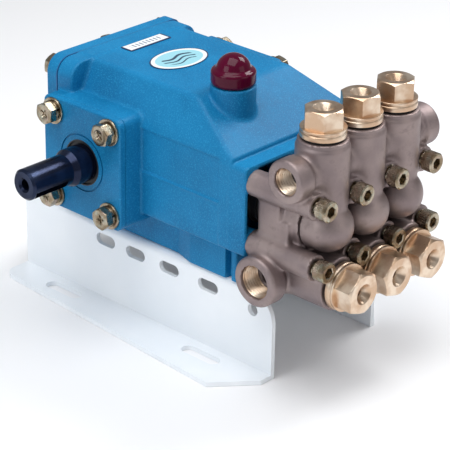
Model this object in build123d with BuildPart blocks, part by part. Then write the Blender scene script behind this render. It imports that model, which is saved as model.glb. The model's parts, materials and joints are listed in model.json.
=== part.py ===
from build123d import *
import os
from math import cos, sin, radians

os.makedirs("parts", exist_ok=True)

# A triplex plunger pump on a bent sheet base. Millimetres, +Z up. The drive shaft leaves along
# -X and the valve block faces -Y. The origin is the middle of the base slots, on the floor plane.

# ---- drive end
bay_pitch = 32.5  # the three cylinders stand side by side along X
bays = [-bay_pitch, 0.0, bay_pitch]
stroke = 12.0
throw_angles = [0.0, 120.0, 240.0]  # measured from front dead centre
crank_y = 28.0
base_top_z = 55.0  # top of the bent base, which the crankcase stands on
crank_height = 54.0  # crank axis above the base
crank_z = base_top_z + crank_height

# ---- crankcase casting
case_side_margin = 8.25  # from the outer screws to the side
case_side_x = 1.5 * bay_pitch + case_side_margin
case_top_x = case_side_x - 12.5  # on the shaft side
case_top_far_x = case_side_x - 21.0  # the other facet is wider
case_top_z = crank_z + 55.6
case_shoulder_z = crank_z + 30.5
case_skirt_z = crank_z - 29.5
case_foot_x = case_side_x - 12.5
case_front_y = crank_y - 121.5
slope_top_y = crank_y - 70.0
slope_foot_y = crank_y - 110.0
band_drop = 2.2  # how far the front band lies below the foot of the slope
case_wall = 5.0
cavity_half_x = case_side_x - 2 * case_wall
cavity_front_y = crank_y - 91.0
panel_front_y = crank_y - 100.0
upper_panel_depth = 1.2
lower_panel_depth = 0.5
panel_ledge = 1.6  # height of the ledge between the two panels
guide_cover = 8.0  # metal above and below the crosshead guides
chamber_front_y = crank_y - 46.0
edge_round = 2.0

# ---- bearings, covers and shaft
bearing_outer_r = 26.0
bearing_inner_r = 12.5
bearing_width = 15.0
bearing_seat_x = case_side_x - 3.3
cover_spigot = 1.2
boss_x = bearing_seat_x + bearing_width + cover_spigot + 0.1  # face that a bearing cover seats on
cover_depth = 4.2
cover_bolt_dy = bearing_outer_r - 1.4
cover_bolt_dz = bearing_outer_r + 1.95
cover_margin_y = 9.4  # from a bolt to the cover's edge
cover_margin_z = 9.05
cover_width = 2 * (cover_bolt_dy + cover_margin_y)
cover_height = 2 * (cover_bolt_dz + cover_margin_z)
cover_corner = 5.0
case_rear_y = crank_y + cover_width / 2 + 0.4
cover_thread_depth = 11.5
race_wall = 3.8
race_inner_wall = 4.5
roller_count = 12
shaft_r = 10.0
shaft_step_x = -boss_x - 20.0
shaft_reach = 32.3
shaft_end_x = shaft_step_x - shaft_reach
seal_land_r = 12.0
shaft_taper = 4.0
shaft_chamfer = 1.5
seal_outer_r = 15.0
shaft_hole_r = 3.4
shaft_hole_depth = 22.0
shaft_hole_sink = 1.4
keyway_width = 6.0
keyway_length = 26.0
keyway_depth = 3.5
keyway_inset = 2.0  # from the shaft's end
keyway_angle = 215.0  # about the shaft, from +Y towards +Z

# ---- crank, rods and plungers
pin_r = 9.0
pin_width = 13.8
web_rim = 1.0  # how far a web stands beyond its pin
web_r = stroke / 2 + pin_r + web_rim
web_gap = 3.0  # round the webs where they pass the bearing walls
big_end_r = 14.0
rod_length = 52.0
rod_eye_r = 5.0
rod_eye_width = 8.0
rod_beam_height = 8.0
wrist_pin_r = 3.0
wrist_pin_length = 10.4
crosshead_r = 14.0
crosshead_length = 44.0
crosshead_tail = 40.0  # from the crank axis to the tail at mid stroke
slot_width = 11.0
plunger_rod_r = 6.0
ceramic_r = 8.0
ceramic_bore_r = 4.0
ceramic_start = 112.0
ceramic_length = 40.0
plunger_nut_r = 5.5
plunger_nut_length = 4.0
guide_end = 95.0  # from the crank axis to the blind end of a crosshead guide
rod_seal_r = 11.0
rod_seal_width = 6.5

# ---- front pocket and the eight long screws
pocket_floor_y = crank_y - 104.0
pocket_half_x = case_side_x - 2.5
pocket_top_z = crank_z + 25.5
pocket_bottom_z = crank_z - 27.0
pocket_corner = 10.0
screw_xs = [-1.5 * bay_pitch, -0.5 * bay_pitch, 0.5 * bay_pitch, 1.5 * bay_pitch]
screw_zs = [crank_z - 21.5, crank_z + 17.6]
screw_r = 4.0  # M8
screw_head_r = 6.5
screw_head_height = 8.0
screw_socket = 6.0
screw_washer = 2.0
sleeve_r = 8.0
sleeve_front_y = crank_y - 170.6
screw_thread_depth = 14.0

# ---- seal retainers
retainer_length = 12.0
retainer_wall = 0.9  # outside the stuffing bore
retainer_flange_r = bay_pitch / 2 - 0.85
retainer_flange = 2.0
retainer_rib_r = ceramic_r + 6.6
retainer_rib = 1.6
retainer_gap = 1.2  # round the plunger

# ---- valve block
block_rear_y = crank_y - 125.0
block_front_y = crank_y - 155.5
block_half_x = 1.5 * bay_pitch - 3.75
block_top_z = crank_z + 23.0
block_bottom_z = crank_z - 27.0
block_round = 3.0
seam_width = 1.6
seam_depth = 3.0
dome_r = 15.7
dome_front_y = crank_y - 180.0
dome_drop = 1.5
pump_bore_r = ceramic_r + 1.0
pump_bore_end_y = crank_y - 168.0
stuffing_r = ceramic_r + 4.5
stuffing_depth = 13.5
discharge_y = crank_y - 158.5
discharge_boss_r = 16.2
discharge_boss_top_z = crank_z + 53.0
discharge_boss_bottom_z = crank_z + 10.0
discharge_gallery_y = crank_y - 157.2
discharge_gallery_z = crank_z + 33.5
discharge_collar_r = 13.0
discharge_port_r = 8.3
discharge_gallery_r = 6.2
inlet_z = crank_z - 36.0
inlet_boss_r = 16.6
inlet_boss_front_y = crank_y - 175.0
inlet_gallery_y = crank_y - 135.4
inlet_gallery_z = crank_z - 38.4
inlet_collar_r = 15.5
inlet_port_r = 10.5
inlet_gallery_r = 8.5
port_face_x = block_half_x + 17.3
port_collar_depth = 10.8
port_collar_x = port_face_x - port_collar_depth
port_thread_length = 14.0
waist = 2.2  # how much slimmer a gallery is than its end collar

# ---- valves and plugs
seat_outer_r = 8.5
seat_inner_r = 5.0
seat_height = 4.0
valve_chamber_r = 9.5
valve_r = 7.0
valve_disc = 2.4
valve_stem_r = 2.8
valve_stem_length = 5.5
discharge_seat_z = crank_z + 19.0  # sealing face
inlet_seat_y = crank_y - 148.0  # sealing face
spring_r = 4.6
spring_wire_r = 0.6
spring_pitch = 3.4
plug_thread_r = 11.0
plug_shank = 12.0
plug_ring_height = 5.7
plug_gap = 1.5
discharge_hex = 22.0
discharge_hex_height = 11.5
discharge_ring_r = 13.85
inlet_hex = 24.0
inlet_hex_height = 12.0
inlet_ring_r = 15.0
plug_recess_r = 6.5
plug_recess_depth = 5.0
plug_hole_r = 3.2
plug_hole_depth = 9.0
oring_r = 0.7

# ---- rear flange and cover
rear_flange_depth = 13.4
rear_flange_x = case_side_x + 5.2
rear_flange_bottom_z = crank_z - 35.0
rear_flange_corner = 11.0
rear_flange_soft = 6.0  # where its top meets the right edge
rear_opening_half_x = case_side_x - 19.0
rear_opening_low_z = crank_z - 25.0
rear_opening_high_z = crank_z + 39.0
rear_thread_depth = 9.0
gasket = 0.8
rear_cover_depth = 8.0
rear_cover_dish = 9.0
rear_bolt_x = case_side_x - 3.5
rear_bolts = [
    (-rear_bolt_x, case_top_z - 9.1),
    (-rear_bolt_x, crank_z + 9.0),
    (-rear_bolt_x, crank_z - 25.0),
    (rear_bolt_x, crank_z - 25.0),
    (rear_bolt_x, crank_z + 9.0),
    (case_top_x - 4.5, case_top_z - 9.1),
    (-8.0, case_top_z - 8.1),
    (0.0, crank_z - 39.0),
]
sight_glass_z = crank_z - 13.0
sight_glass_r = 9.0
drain_z = crank_z - 39.0
drain_x = 24.0
drain_r = 6.0

# ---- oil filler
filler_x = -23.0
filler_y = crank_y - 79.0
filler_boss_r = 14.0
filler_boss_top_z = case_top_z + 5.0
filler_bore_r = 9.0
cap_collar_r = 13.8
cap_collar_height = 10.0
cap_dome_r = 10.9
cap_top_z = filler_boss_top_z + 19.4
cap_round = 2.0
cap_stub_depth = 9.0

# ---- labels
label_lift = 0.4
badge_centre = (-7.5, crank_y - 18.5)
badge_size = (43.6, 28.6)
spec_centre = (-2.0, crank_y + 16.5)
spec_size = (36.0, 11.0)

# ---- base plate
sheet = 3.0
base_wall_x = case_foot_x + 4.4
base_half_length = 110.1
base_nose_round = 18.0
base_bend = 4.5
foot_rear_reach = 21.0
foot_reach_left = 34.0
foot_reach_right = 26.0
foot_flare_y = -88.0
foot_chamfer_x = 25.0
foot_rear_round = 9.0
anchor_x = base_wall_x + 11.6
anchor_y = 62.0
anchor_width = 9.0
anchor_length = 30.0
side_slot_ys = [34.0, 7.0, -23.0, -56.5]
side_slot_z = base_top_z - 10.5
side_slot_length = 17.0
side_slot_width = 8.0
nose_hole_y = -94.0
nose_hole_z = base_top_z - 13.0
nose_hole_r = 4.0
base_bolt_x = case_foot_x - 14.5
base_boss_height = 14.0
base_thread_depth = 12.0
base_bolt_ys = [crank_y + 8.0, crank_y - 82.0]
foot_pad_rear_y = crank_y - 55.0
foot_pad_full_y = crank_y - 69.0
foot_pad_x = base_wall_x
foot_post = 4.0
foot_groove = 5.0
foot_front_y = crank_y - 108.0

# ---- fasteners and clearances
bolt_r = 4.0  # M8
bolt_hex = 13.0
bolt_head = 5.3
cross_span = 6.4
cross_slot = 1.3
cross_depth = 1.6
tip_room = 1.5  # between a bolt's tip and the bottom of its hole
washer_r = 8.6
washer_flat = 1.6
washer_split = 2.0
washer_split_r = 6.9
through_gap = 0.3  # a bolt in a plain hole
thread_gap = 0.05  # a bolt in its tapped hole
running = 0.05  # radial, a shaft or slide in its bore
apart = 0.3  # between bodies that must not touch
race_gap = 0.1  # roller to race
valve_gap = 0.1  # a closed valve over its seat

throw = stroke / 2
face_x = boss_x + cover_depth


def side_plane(x):
    """Sketch in (Y, Z), extrude towards +X."""
    return Plane(origin=(x, 0, 0), x_dir=(0, 1, 0), z_dir=(1, 0, 0))


def front_plane(y):
    """Sketch in (X, Z), extrude towards -Y."""
    return Plane(origin=(0, y, 0), x_dir=(1, 0, 0), z_dir=(0, -1, 0))


def level_plane(z):
    """Sketch in (X, Y), extrude towards +Z."""
    return Plane.XY.offset(z)


def bars(plane, places, radius, length, mode=Mode.ADD, top_radius=None):
    """Round bars on a plane at each (u, v), along the plane's normal, tapered if asked."""
    with Locations(*[plane.location * Location((u, v, 0)) for u, v in places]):
        if top_radius is None:
            Cylinder(radius, length, align=(Align.CENTER, Align.CENTER, Align.MIN), mode=mode)
        else:
            Cone(radius, top_radius, length, align=(Align.CENTER, Align.CENTER, Align.MIN), mode=mode)


def hexes(plane, places, across_flats, length, mode=Mode.ADD, turn=0.0):
    """Hexagonal bars on a plane at each (u, v)."""
    with BuildSketch(plane, mode=Mode.PRIVATE) as outline:
        with Locations(*places):
            RegularPolygon(across_flats / 2, 6, major_radius=False, rotation=turn)
    extrude(outline.sketch, amount=length, mode=mode)


def block(low, high, mode=Mode.ADD):
    """A box between two corners."""
    centre = [(a + b) / 2 for a, b in zip(low, high)]
    with Locations(tuple(centre)):
        Box(*[b - a for a, b in zip(low, high)], mode=mode)


def finish(builder, name):
    """Name a finished piece and write it."""
    builder.part.label = name
    export_step(builder.part, f"parts/{name}.step")


cover_bolt_places = [
    (crank_y + i * cover_bolt_dy, crank_z + j * cover_bolt_dz) for i in (-1, 1) for j in (-1, 1)
]
screw_places = [(x, z) for x in screw_xs for z in screw_zs]
bay_places = [(x, crank_z) for x in bays]
shaft_axis = [(crank_y, crank_z)]
base_bolt_places = [(i * base_bolt_x, y) for i in (-1, 1) for y in base_bolt_ys]

# How far forward of mid stroke each plunger rests, and where each crank pin is.
forward = [throw * cos(radians(a)) for a in throw_angles]
pins = [(crank_y - throw * cos(radians(a)), crank_z + throw * sin(radians(a))) for a in throw_angles]

case_outline = [
    (-case_side_x, case_skirt_z),
    (case_side_x, case_skirt_z),
    (case_side_x, case_shoulder_z),
    (case_top_far_x, case_top_z),
    (-case_top_x, case_top_z),
    (-case_side_x, case_shoulder_z),
]
facet_run = (case_side_x - case_top_x) / (case_top_z - case_shoulder_z)
flange_right_z = case_top_z - (rear_flange_x - case_top_x) / facet_run

# ---- crankcase: one casting, hollow, with guides, bearing bosses, rear flange and filler boss
with BuildPart() as crankcase:
    with BuildSketch(front_plane(case_rear_y)) as across:
        with BuildLine():
            Polyline(*case_outline, close=True)
        make_face()
        fillet(across.vertices(), radius=edge_round)
    extrude(amount=case_rear_y - case_front_y)
    with BuildSketch(side_plane(0)) as along:
        with BuildLine():
            Polyline(
                (case_rear_y, case_skirt_z),
                (case_rear_y, case_top_z),
                (slope_top_y, case_top_z),
                (slope_foot_y, case_shoulder_z),
                (slope_foot_y, case_shoulder_z - band_drop),
                (case_front_y, case_shoulder_z - band_drop),
                (case_front_y, case_skirt_z),
                close=True,
            )
        make_face()
        fillet(along.vertices().sort_by(Axis.Y)[-2:].sort_by(Axis.X)[:1], radius=6 * edge_round)
    extrude(amount=case_side_x, both=True, mode=Mode.INTERSECT)
    # foot: narrower than the base at the rear, flush with it in front, with a groove and a post
    with BuildSketch(level_plane(base_top_z)):
        for side in (-1, 1):
            with BuildLine():
                Polyline(
                    (0, case_rear_y),
                    (side * case_foot_x, case_rear_y),
                    (side * case_foot_x, foot_pad_rear_y),
                    (side * foot_pad_x, foot_pad_full_y),
                    (side * foot_pad_x, foot_front_y + foot_post + foot_groove),
                    (side * case_foot_x, foot_front_y + foot_post + foot_groove),
                    (side * case_foot_x, foot_front_y + foot_post),
                    (side * foot_pad_x, foot_front_y + foot_post),
                    (side * foot_pad_x, foot_front_y),
                    (0, foot_front_y),
                    close=True,
                )
            make_face()
    extrude(amount=case_skirt_z - base_top_z + edge_round)
    # rear flange with a round left ear; its right edge follows the facet
    with BuildSketch(front_plane(case_rear_y)) as flange:
        with BuildLine():
            Polyline(
                (-case_foot_x, base_top_z),
                (case_foot_x, base_top_z),
                (case_foot_x, rear_flange_bottom_z),
                (rear_flange_x, rear_flange_bottom_z),
                (rear_flange_x, flange_right_z),
                (case_top_x, case_top_z),
                (-rear_flange_x, case_top_z),
                (-rear_flange_x, rear_flange_bottom_z),
                (-case_foot_x, rear_flange_bottom_z),
                close=True,
            )
        make_face()
        fillet(flange.vertices().group_by(Axis.Y)[-1].sort_by(Axis.X)[:1], radius=rear_flange_corner)
        fillet(flange.vertices().group_by(Axis.Y)[-1].sort_by(Axis.X)[-1:], radius=rear_flange_soft)
    extrude(amount=rear_flange_depth)
    # a bearing boss on each side
    with BuildSketch(side_plane(-boss_x)):
        with Locations((crank_y, crank_z)):
            RectangleRounded(cover_width, cover_height, cover_corner)
    extrude(amount=2 * boss_x)
    # filler boss
    bars(
        level_plane(case_shoulder_z),
        [(filler_x, filler_y)],
        filler_boss_r,
        filler_boss_top_z - case_shoulder_z,
    )
    # side panels: a recessed upper panel with a ledge under it
    panel_rear_y = crank_y - cover_width / 2
    for side in (-1, 1):
        for depth, low_z, high_z in (
            (upper_panel_depth, crank_z, case_shoulder_z - edge_round),
            (lower_panel_depth, case_skirt_z - 1, crank_z - panel_ledge),
        ):
            low_x, high_x = sorted((side * (case_side_x + 1), side * (case_side_x - depth)))
            block((low_x, panel_front_y, low_z), (high_x, panel_rear_y, high_z), mode=Mode.SUBTRACT)
    # hollow: a crank chamber, an oil channel over the guides and a sump under them
    cavity_low_z = base_top_z + case_wall
    cavity_high_z = case_top_z - case_wall
    guide_top_z = crank_z + crosshead_r + guide_cover
    guide_low_z = crank_z - crosshead_r - guide_cover
    for low_z, high_z, front_y, half in (
        (cavity_low_z, case_skirt_z + case_wall, chamber_front_y, case_foot_x - case_wall),
        (case_skirt_z + case_wall, case_shoulder_z - case_wall, chamber_front_y, cavity_half_x),
        (cavity_low_z, guide_low_z, cavity_front_y, case_foot_x - case_wall),
        (guide_top_z, case_shoulder_z, cavity_front_y, cavity_half_x - case_wall),
    ):
        block(
            (-half, front_y, low_z),
            (half, case_rear_y - rear_flange_depth, high_z),
            mode=Mode.SUBTRACT,
        )
    with BuildSketch(side_plane(0)):
        with BuildLine():
            Polyline(
                (case_rear_y - rear_flange_depth, case_shoulder_z - case_wall),
                (case_rear_y - rear_flange_depth, cavity_high_z),
                (slope_top_y + case_wall, cavity_high_z),
                (cavity_front_y, cavity_high_z - (slope_top_y + case_wall - cavity_front_y) * 0.63),
                (cavity_front_y, case_shoulder_z - case_wall),
                close=True,
            )
        make_face()
    extrude(amount=case_top_x - 2 * case_wall, both=True, mode=Mode.SUBTRACT)
    block(
        (-rear_opening_half_x, case_rear_y - rear_flange_depth - 1, rear_opening_low_z),
        (rear_opening_half_x, case_rear_y + 1, rear_opening_high_z),
        mode=Mode.SUBTRACT,
    )
    # bearing seats, and the way through for the crank
    for side in (-1, 1):
        plane = side_plane(side * bearing_seat_x) if side > 0 else side_plane(-boss_x)
        bars(plane, shaft_axis, bearing_outer_r, boss_x - bearing_seat_x, mode=Mode.SUBTRACT)
        start_x = cavity_half_x - 1 if side > 0 else -bearing_seat_x
        bars(
            side_plane(start_x),
            shaft_axis,
            web_r + web_gap,
            bearing_seat_x - cavity_half_x + 1,
            mode=Mode.SUBTRACT,
        )
    # crosshead guides, plunger rod holes and rod seal pockets
    guide_length = chamber_front_y + 1 - (crank_y - guide_end)
    bars(
        front_plane(chamber_front_y + 1),
        bay_places,
        crosshead_r + running,
        guide_length,
        mode=Mode.SUBTRACT,
    )
    bars(
        front_plane(crank_y - guide_end + 1), bay_places, plunger_rod_r + apart, 11, mode=Mode.SUBTRACT
    )
    # front pocket, then the bosses that take the long screws
    with BuildSketch(front_plane(pocket_floor_y)):
        with Locations((0, (pocket_top_z + pocket_bottom_z) / 2)):
            RectangleRounded(2 * pocket_half_x, pocket_top_z - pocket_bottom_z, pocket_corner)
    extrude(amount=pocket_floor_y - case_front_y, mode=Mode.SUBTRACT)
    bars(
        front_plane(pocket_floor_y + 1), screw_places, sleeve_r - 0.5, pocket_floor_y - case_front_y + 1
    )
    bars(
        front_plane(case_front_y + screw_thread_depth + 2),
        screw_places,
        screw_r + thread_gap,
        screw_thread_depth + 3,
        mode=Mode.SUBTRACT,
    )
    bars(
        front_plane(pocket_floor_y + rod_seal_width),
        bay_places,
        rod_seal_r,
        rod_seal_width,
        mode=Mode.SUBTRACT,
    )
    # bosses for the base bolts, inside the sump
    bars(level_plane(base_top_z), base_bolt_places, 2 * bolt_r, base_boss_height)
    bars(
        level_plane(base_top_z - 1),
        base_bolt_places,
        bolt_r + thread_gap,
        base_thread_depth + 1,
        mode=Mode.SUBTRACT,
    )
    # tapped holes for the covers
    for low in (-boss_x, boss_x - cover_thread_depth):
        bars(
            side_plane(low),
            cover_bolt_places,
            bolt_r + thread_gap,
            cover_thread_depth,
            mode=Mode.SUBTRACT,
        )
    bars(
        front_plane(case_rear_y + 1),
        rear_bolts,
        bolt_r + thread_gap,
        rear_thread_depth + 1,
        mode=Mode.SUBTRACT,
    )
    # filler neck
    bars(
        level_plane(case_shoulder_z),
        [(filler_x, filler_y)],
        filler_bore_r,
        filler_boss_top_z - case_shoulder_z + 1,
        mode=Mode.SUBTRACT,
    )
finish(crankcase, "crankcase")

# ---- bearing covers: the left one carries the shaft seal, the right one is blind
for side, name in ((-1, "bearing_cover_left"), (1, "bearing_cover_right")):
    with BuildPart() as cover:
        low_x = boss_x if side > 0 else -face_x
        with BuildSketch(side_plane(low_x)):
            with Locations((crank_y, crank_z)):
                RectangleRounded(cover_width, cover_height, cover_corner)
        extrude(amount=cover_depth)
        outside = cover.faces().sort_by(Axis.X)[-1 if side > 0 else 0]
        fillet(outside.edges(), radius=1.2)
        spigot_x = boss_x - cover_spigot if side > 0 else -boss_x
        bars(side_plane(spigot_x), shaft_axis, bearing_outer_r - running, cover_spigot)
        bars(
            side_plane(low_x - 1),
            cover_bolt_places,
            bolt_r + through_gap,
            cover_depth + 2,
            mode=Mode.SUBTRACT,
        )
        if side < 0:
            bars(
                side_plane(-face_x - 1),
                shaft_axis,
                seal_outer_r,
                cover_depth + cover_spigot + 2,
                mode=Mode.SUBTRACT,
            )
            with BuildSketch(side_plane(-face_x)):
                with Locations((crank_y, crank_z)):
                    Circle(seal_outer_r + 4)
                    Circle(seal_outer_r + 2.8, mode=Mode.SUBTRACT)
            extrude(amount=0.8, mode=Mode.SUBTRACT)
    finish(cover, name)

with BuildPart() as bearing_cover_washers:
    for start_x, step in ((-face_x, -1), (face_x, 1)):
        for radius, depth, offset_x in (
            (washer_r, washer_flat, 0), (washer_split_r, washer_split, washer_flat)
        ):
            near = start_x + step * offset_x
            bars(side_plane(min(near, near + step * depth)), cover_bolt_places, radius, depth)
        low = start_x if step > 0 else start_x - washer_flat - washer_split
        bars(
            side_plane(low),
            cover_bolt_places,
            bolt_r + through_gap,
            washer_flat + washer_split,
            mode=Mode.SUBTRACT,
        )
finish(bearing_cover_washers, "bearing_cover_washers")

stack = washer_flat + washer_split
with BuildPart() as bearing_cover_bolts:
    for side in (-1, 1):
        seat_x = face_x + stack
        low = seat_x if side > 0 else -seat_x - bolt_head
        hexes(side_plane(low), cover_bolt_places, bolt_hex, bolt_head)
        tip_x = boss_x - cover_thread_depth + tip_room
        low = tip_x if side > 0 else -seat_x
        bars(side_plane(low), cover_bolt_places, bolt_r, seat_x - tip_x)
        with BuildSketch(side_plane(side * (seat_x + bolt_head))):
            with Locations(*cover_bolt_places):
                Rectangle(cross_span, cross_slot)
                Rectangle(cross_slot, cross_span)
        extrude(amount=-side * cross_depth, mode=Mode.SUBTRACT)
finish(bearing_cover_bolts, "bearing_cover_bolts")

# ---- main bearings and seal
race_outer_bore = bearing_outer_r - race_wall
race_inner_r = bearing_inner_r + race_inner_wall
roller_r = (race_outer_bore - race_inner_r) / 2 - race_gap
bearing_lows = [-bearing_seat_x - bearing_width, bearing_seat_x]

with BuildPart() as bearing_outer_races:
    for low in bearing_lows:
        bars(side_plane(low), shaft_axis, bearing_outer_r, bearing_width)
        bars(side_plane(low), shaft_axis, race_outer_bore, bearing_width, mode=Mode.SUBTRACT)
finish(bearing_outer_races, "bearing_outer_races")

with BuildPart() as bearing_inner_races:
    for low in bearing_lows:
        bars(side_plane(low), shaft_axis, race_inner_r, bearing_width)
        bars(side_plane(low), shaft_axis, bearing_inner_r, bearing_width, mode=Mode.SUBTRACT)
finish(bearing_inner_races, "bearing_inner_races")

with BuildPart() as bearing_rollers:
    roller_circle = (race_outer_bore + race_inner_r) / 2
    roller_places = [
        (crank_y + roller_circle * cos(radians(a)), crank_z + roller_circle * sin(radians(a)))
        for a in [360 * n / roller_count for n in range(roller_count)]
    ]
    for low in bearing_lows:
        bars(side_plane(low + 2), roller_places, roller_r, bearing_width - 4)
finish(bearing_rollers, "bearing_rollers")

with BuildPart() as shaft_seal:
    seal_low_x = -boss_x + cover_spigot - cover_depth - cover_spigot
    bars(side_plane(seal_low_x), shaft_axis, seal_outer_r, cover_depth)
    bars(side_plane(seal_low_x), shaft_axis, seal_land_r + running, cover_depth, mode=Mode.SUBTRACT)
    with BuildSketch(side_plane(seal_low_x)):
        with Locations((crank_y, crank_z)):
            Circle(seal_outer_r - 0.8)
            Circle(seal_land_r + running, mode=Mode.SUBTRACT)
    extrude(amount=1.4, mode=Mode.SUBTRACT)
finish(shaft_seal, "shaft_seal")

# ---- crankshaft: three pins a third of a turn apart between round webs
with BuildPart() as crankshaft:
    bars(side_plane(shaft_end_x), shaft_axis, shaft_r, shaft_step_x - shaft_end_x)
    bars(side_plane(shaft_step_x), shaft_axis, shaft_r, shaft_taper, top_radius=seal_land_r)
    land_end_x = -bearing_seat_x - bearing_width
    bars(
        side_plane(shaft_step_x + shaft_taper),
        shaft_axis,
        seal_land_r,
        land_end_x - shaft_step_x - shaft_taper,
    )
    web_out_x = bearing_seat_x - 0.4
    journal = bearing_width + 0.4
    bars(side_plane(land_end_x), shaft_axis, bearing_inner_r, journal)
    bars(side_plane(web_out_x), shaft_axis, bearing_inner_r, journal)
    edges_x = [-web_out_x]
    for x in bays:
        edges_x += [x - pin_width / 2, x + pin_width / 2]
    edges_x.append(web_out_x)
    for low, high in zip(edges_x[0::2], edges_x[1::2]):
        bars(side_plane(low), shaft_axis, web_r, high - low)
    for x, place in zip(bays, pins):
        bars(side_plane(x - pin_width / 2), [place], pin_r, pin_width)
    chamfer(crankshaft.faces().sort_by(Axis.X)[0].edges(), length=shaft_chamfer)
    bars(side_plane(shaft_end_x), shaft_axis, shaft_hole_r, shaft_hole_depth, mode=Mode.SUBTRACT)
    bars(
        side_plane(shaft_end_x),
        shaft_axis,
        shaft_hole_r + shaft_hole_sink,
        shaft_hole_sink,
        mode=Mode.SUBTRACT,
        top_radius=shaft_hole_r,
    )
    out = (cos(radians(keyway_angle)), sin(radians(keyway_angle)))
    flank = Plane(
        origin=(shaft_end_x + keyway_inset, crank_y, crank_z), x_dir=(1, 0, 0), z_dir=(0, *out)
    )
    with BuildSketch(flank.offset(shaft_r - keyway_depth)):
        with Locations((keyway_length / 2, 0)):
            Rectangle(keyway_length, keyway_width)
    extrude(amount=2 * keyway_depth, mode=Mode.SUBTRACT)
finish(crankshaft, "crankshaft")

# ---- rods: each stays level while its big end goes round with the crank pin
for number, (x, (pin_y, pin_z)) in enumerate(zip(bays, pins), 1):
    eye_y = pin_y - rod_length
    big_width = pin_width - 2 * apart
    with BuildPart() as connecting_rod:
        bars(side_plane(x - big_width / 2), [(pin_y, pin_z)], big_end_r, big_width)
        block(
            (x - big_width, pin_y, pin_z - 2 * big_end_r),
            (x + big_width, pin_y + 2 * big_end_r, pin_z + 2 * big_end_r),
            mode=Mode.SUBTRACT,
        )
        block(
            (x - rod_eye_width / 2, eye_y, pin_z - rod_beam_height / 2),
            (x + rod_eye_width / 2, pin_y - pin_r, pin_z + rod_beam_height / 2),
        )
        bars(side_plane(x - rod_eye_width / 2), [(eye_y, pin_z)], rod_eye_r, rod_eye_width)
        bars(
            side_plane(x - big_width),
            [(pin_y, pin_z)],
            pin_r + running,
            2 * big_width,
            mode=Mode.SUBTRACT,
        )
        bars(
            side_plane(x - big_width), [(eye_y, pin_z)], wrist_pin_r, 2 * big_width, mode=Mode.SUBTRACT
        )
    finish(connecting_rod, f"connecting_rod_{number}")

    with BuildPart() as rod_cap:
        bars(side_plane(x - big_width / 2), [(pin_y, pin_z)], big_end_r, big_width)
        block(
            (x - big_width, pin_y - 2 * big_end_r, pin_z - 2 * big_end_r),
            (x + big_width, pin_y, pin_z + 2 * big_end_r),
            mode=Mode.SUBTRACT,
        )
        bars(
            side_plane(x - big_width),
            [(pin_y, pin_z)],
            pin_r + running,
            2 * big_width,
            mode=Mode.SUBTRACT,
        )
    finish(rod_cap, f"rod_cap_{number}")

    with BuildPart() as wrist_pin:
        bars(side_plane(x - wrist_pin_length / 2), [(eye_y, pin_z)], wrist_pin_r, wrist_pin_length)
    finish(wrist_pin, f"wrist_pin_{number}")

# ---- plungers: a crosshead with an open tail, its rod, and a ceramic sleeve held by a nut
slot_height = 2 * (throw + rod_eye_r + 0.7)
slot_front = rod_length + 2 * throw + rod_eye_r + 0.7
for number, (x, ahead) in enumerate(zip(bays, forward), 1):
    tail_y = crank_y - crosshead_tail - ahead
    nose_y = tail_y - crosshead_length
    ceramic_y = crank_y - ceramic_start - ahead
    ceramic_end_y = ceramic_y - ceramic_length
    here = [(x, crank_z)]
    with BuildPart() as plunger_rod:
        bars(front_plane(tail_y), here, crosshead_r, crosshead_length)
        block(
            (x - slot_width / 2, crank_y - slot_front - ahead, crank_z - slot_height / 2),
            (x + slot_width / 2, tail_y + 1, crank_z + slot_height / 2),
            mode=Mode.SUBTRACT,
        )
        bars(front_plane(nose_y), here, plunger_rod_r, nose_y - ceramic_y)
        bars(front_plane(ceramic_y), here, ceramic_bore_r, ceramic_length)
        bars(front_plane(ceramic_end_y), here, plunger_nut_r, plunger_nut_length)
    finish(plunger_rod, f"plunger_rod_{number}")

    with BuildPart() as ceramic_plunger:
        bars(front_plane(ceramic_y), here, ceramic_r, ceramic_length)
        bars(front_plane(ceramic_y), here, ceramic_bore_r, ceramic_length, mode=Mode.SUBTRACT)
    finish(ceramic_plunger, f"ceramic_plunger_{number}")

# ---- seals round the plungers
with BuildPart() as crankcase_rod_seals:
    bars(front_plane(pocket_floor_y + rod_seal_width), bay_places, rod_seal_r, rod_seal_width)
    bars(
        front_plane(pocket_floor_y + rod_seal_width),
        bay_places,
        plunger_rod_r + running,
        rod_seal_width,
        mode=Mode.SUBTRACT,
    )
finish(crankcase_rod_seals, "crankcase_rod_seals")

with BuildPart() as seal_retainers:
    retainer_rear = front_plane(block_rear_y + retainer_length)
    bars(retainer_rear, bay_places, stuffing_r + retainer_wall, retainer_length)
    bars(retainer_rear, bay_places, retainer_flange_r, retainer_flange)
    bars(front_plane(block_rear_y + retainer_length / 2), bay_places, retainer_rib_r, retainer_rib)
    bars(
        retainer_rear,
        bay_places,
        ceramic_r + retainer_gap,
        retainer_length,
        mode=Mode.SUBTRACT,
    )
finish(seal_retainers, "seal_retainers")

seal_slots = (("low_pressure_seals", 0.3, 5.7), ("high_pressure_seals", 6.3, 6.9))
for name, depth, width in seal_slots:
    with BuildPart() as ring:
        bars(front_plane(block_rear_y - depth), bay_places, stuffing_r, width)
        bars(
            front_plane(block_rear_y - depth),
            bay_places,
            ceramic_r + running,
            width,
            mode=Mode.SUBTRACT,
        )
    finish(ring, name)

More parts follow.
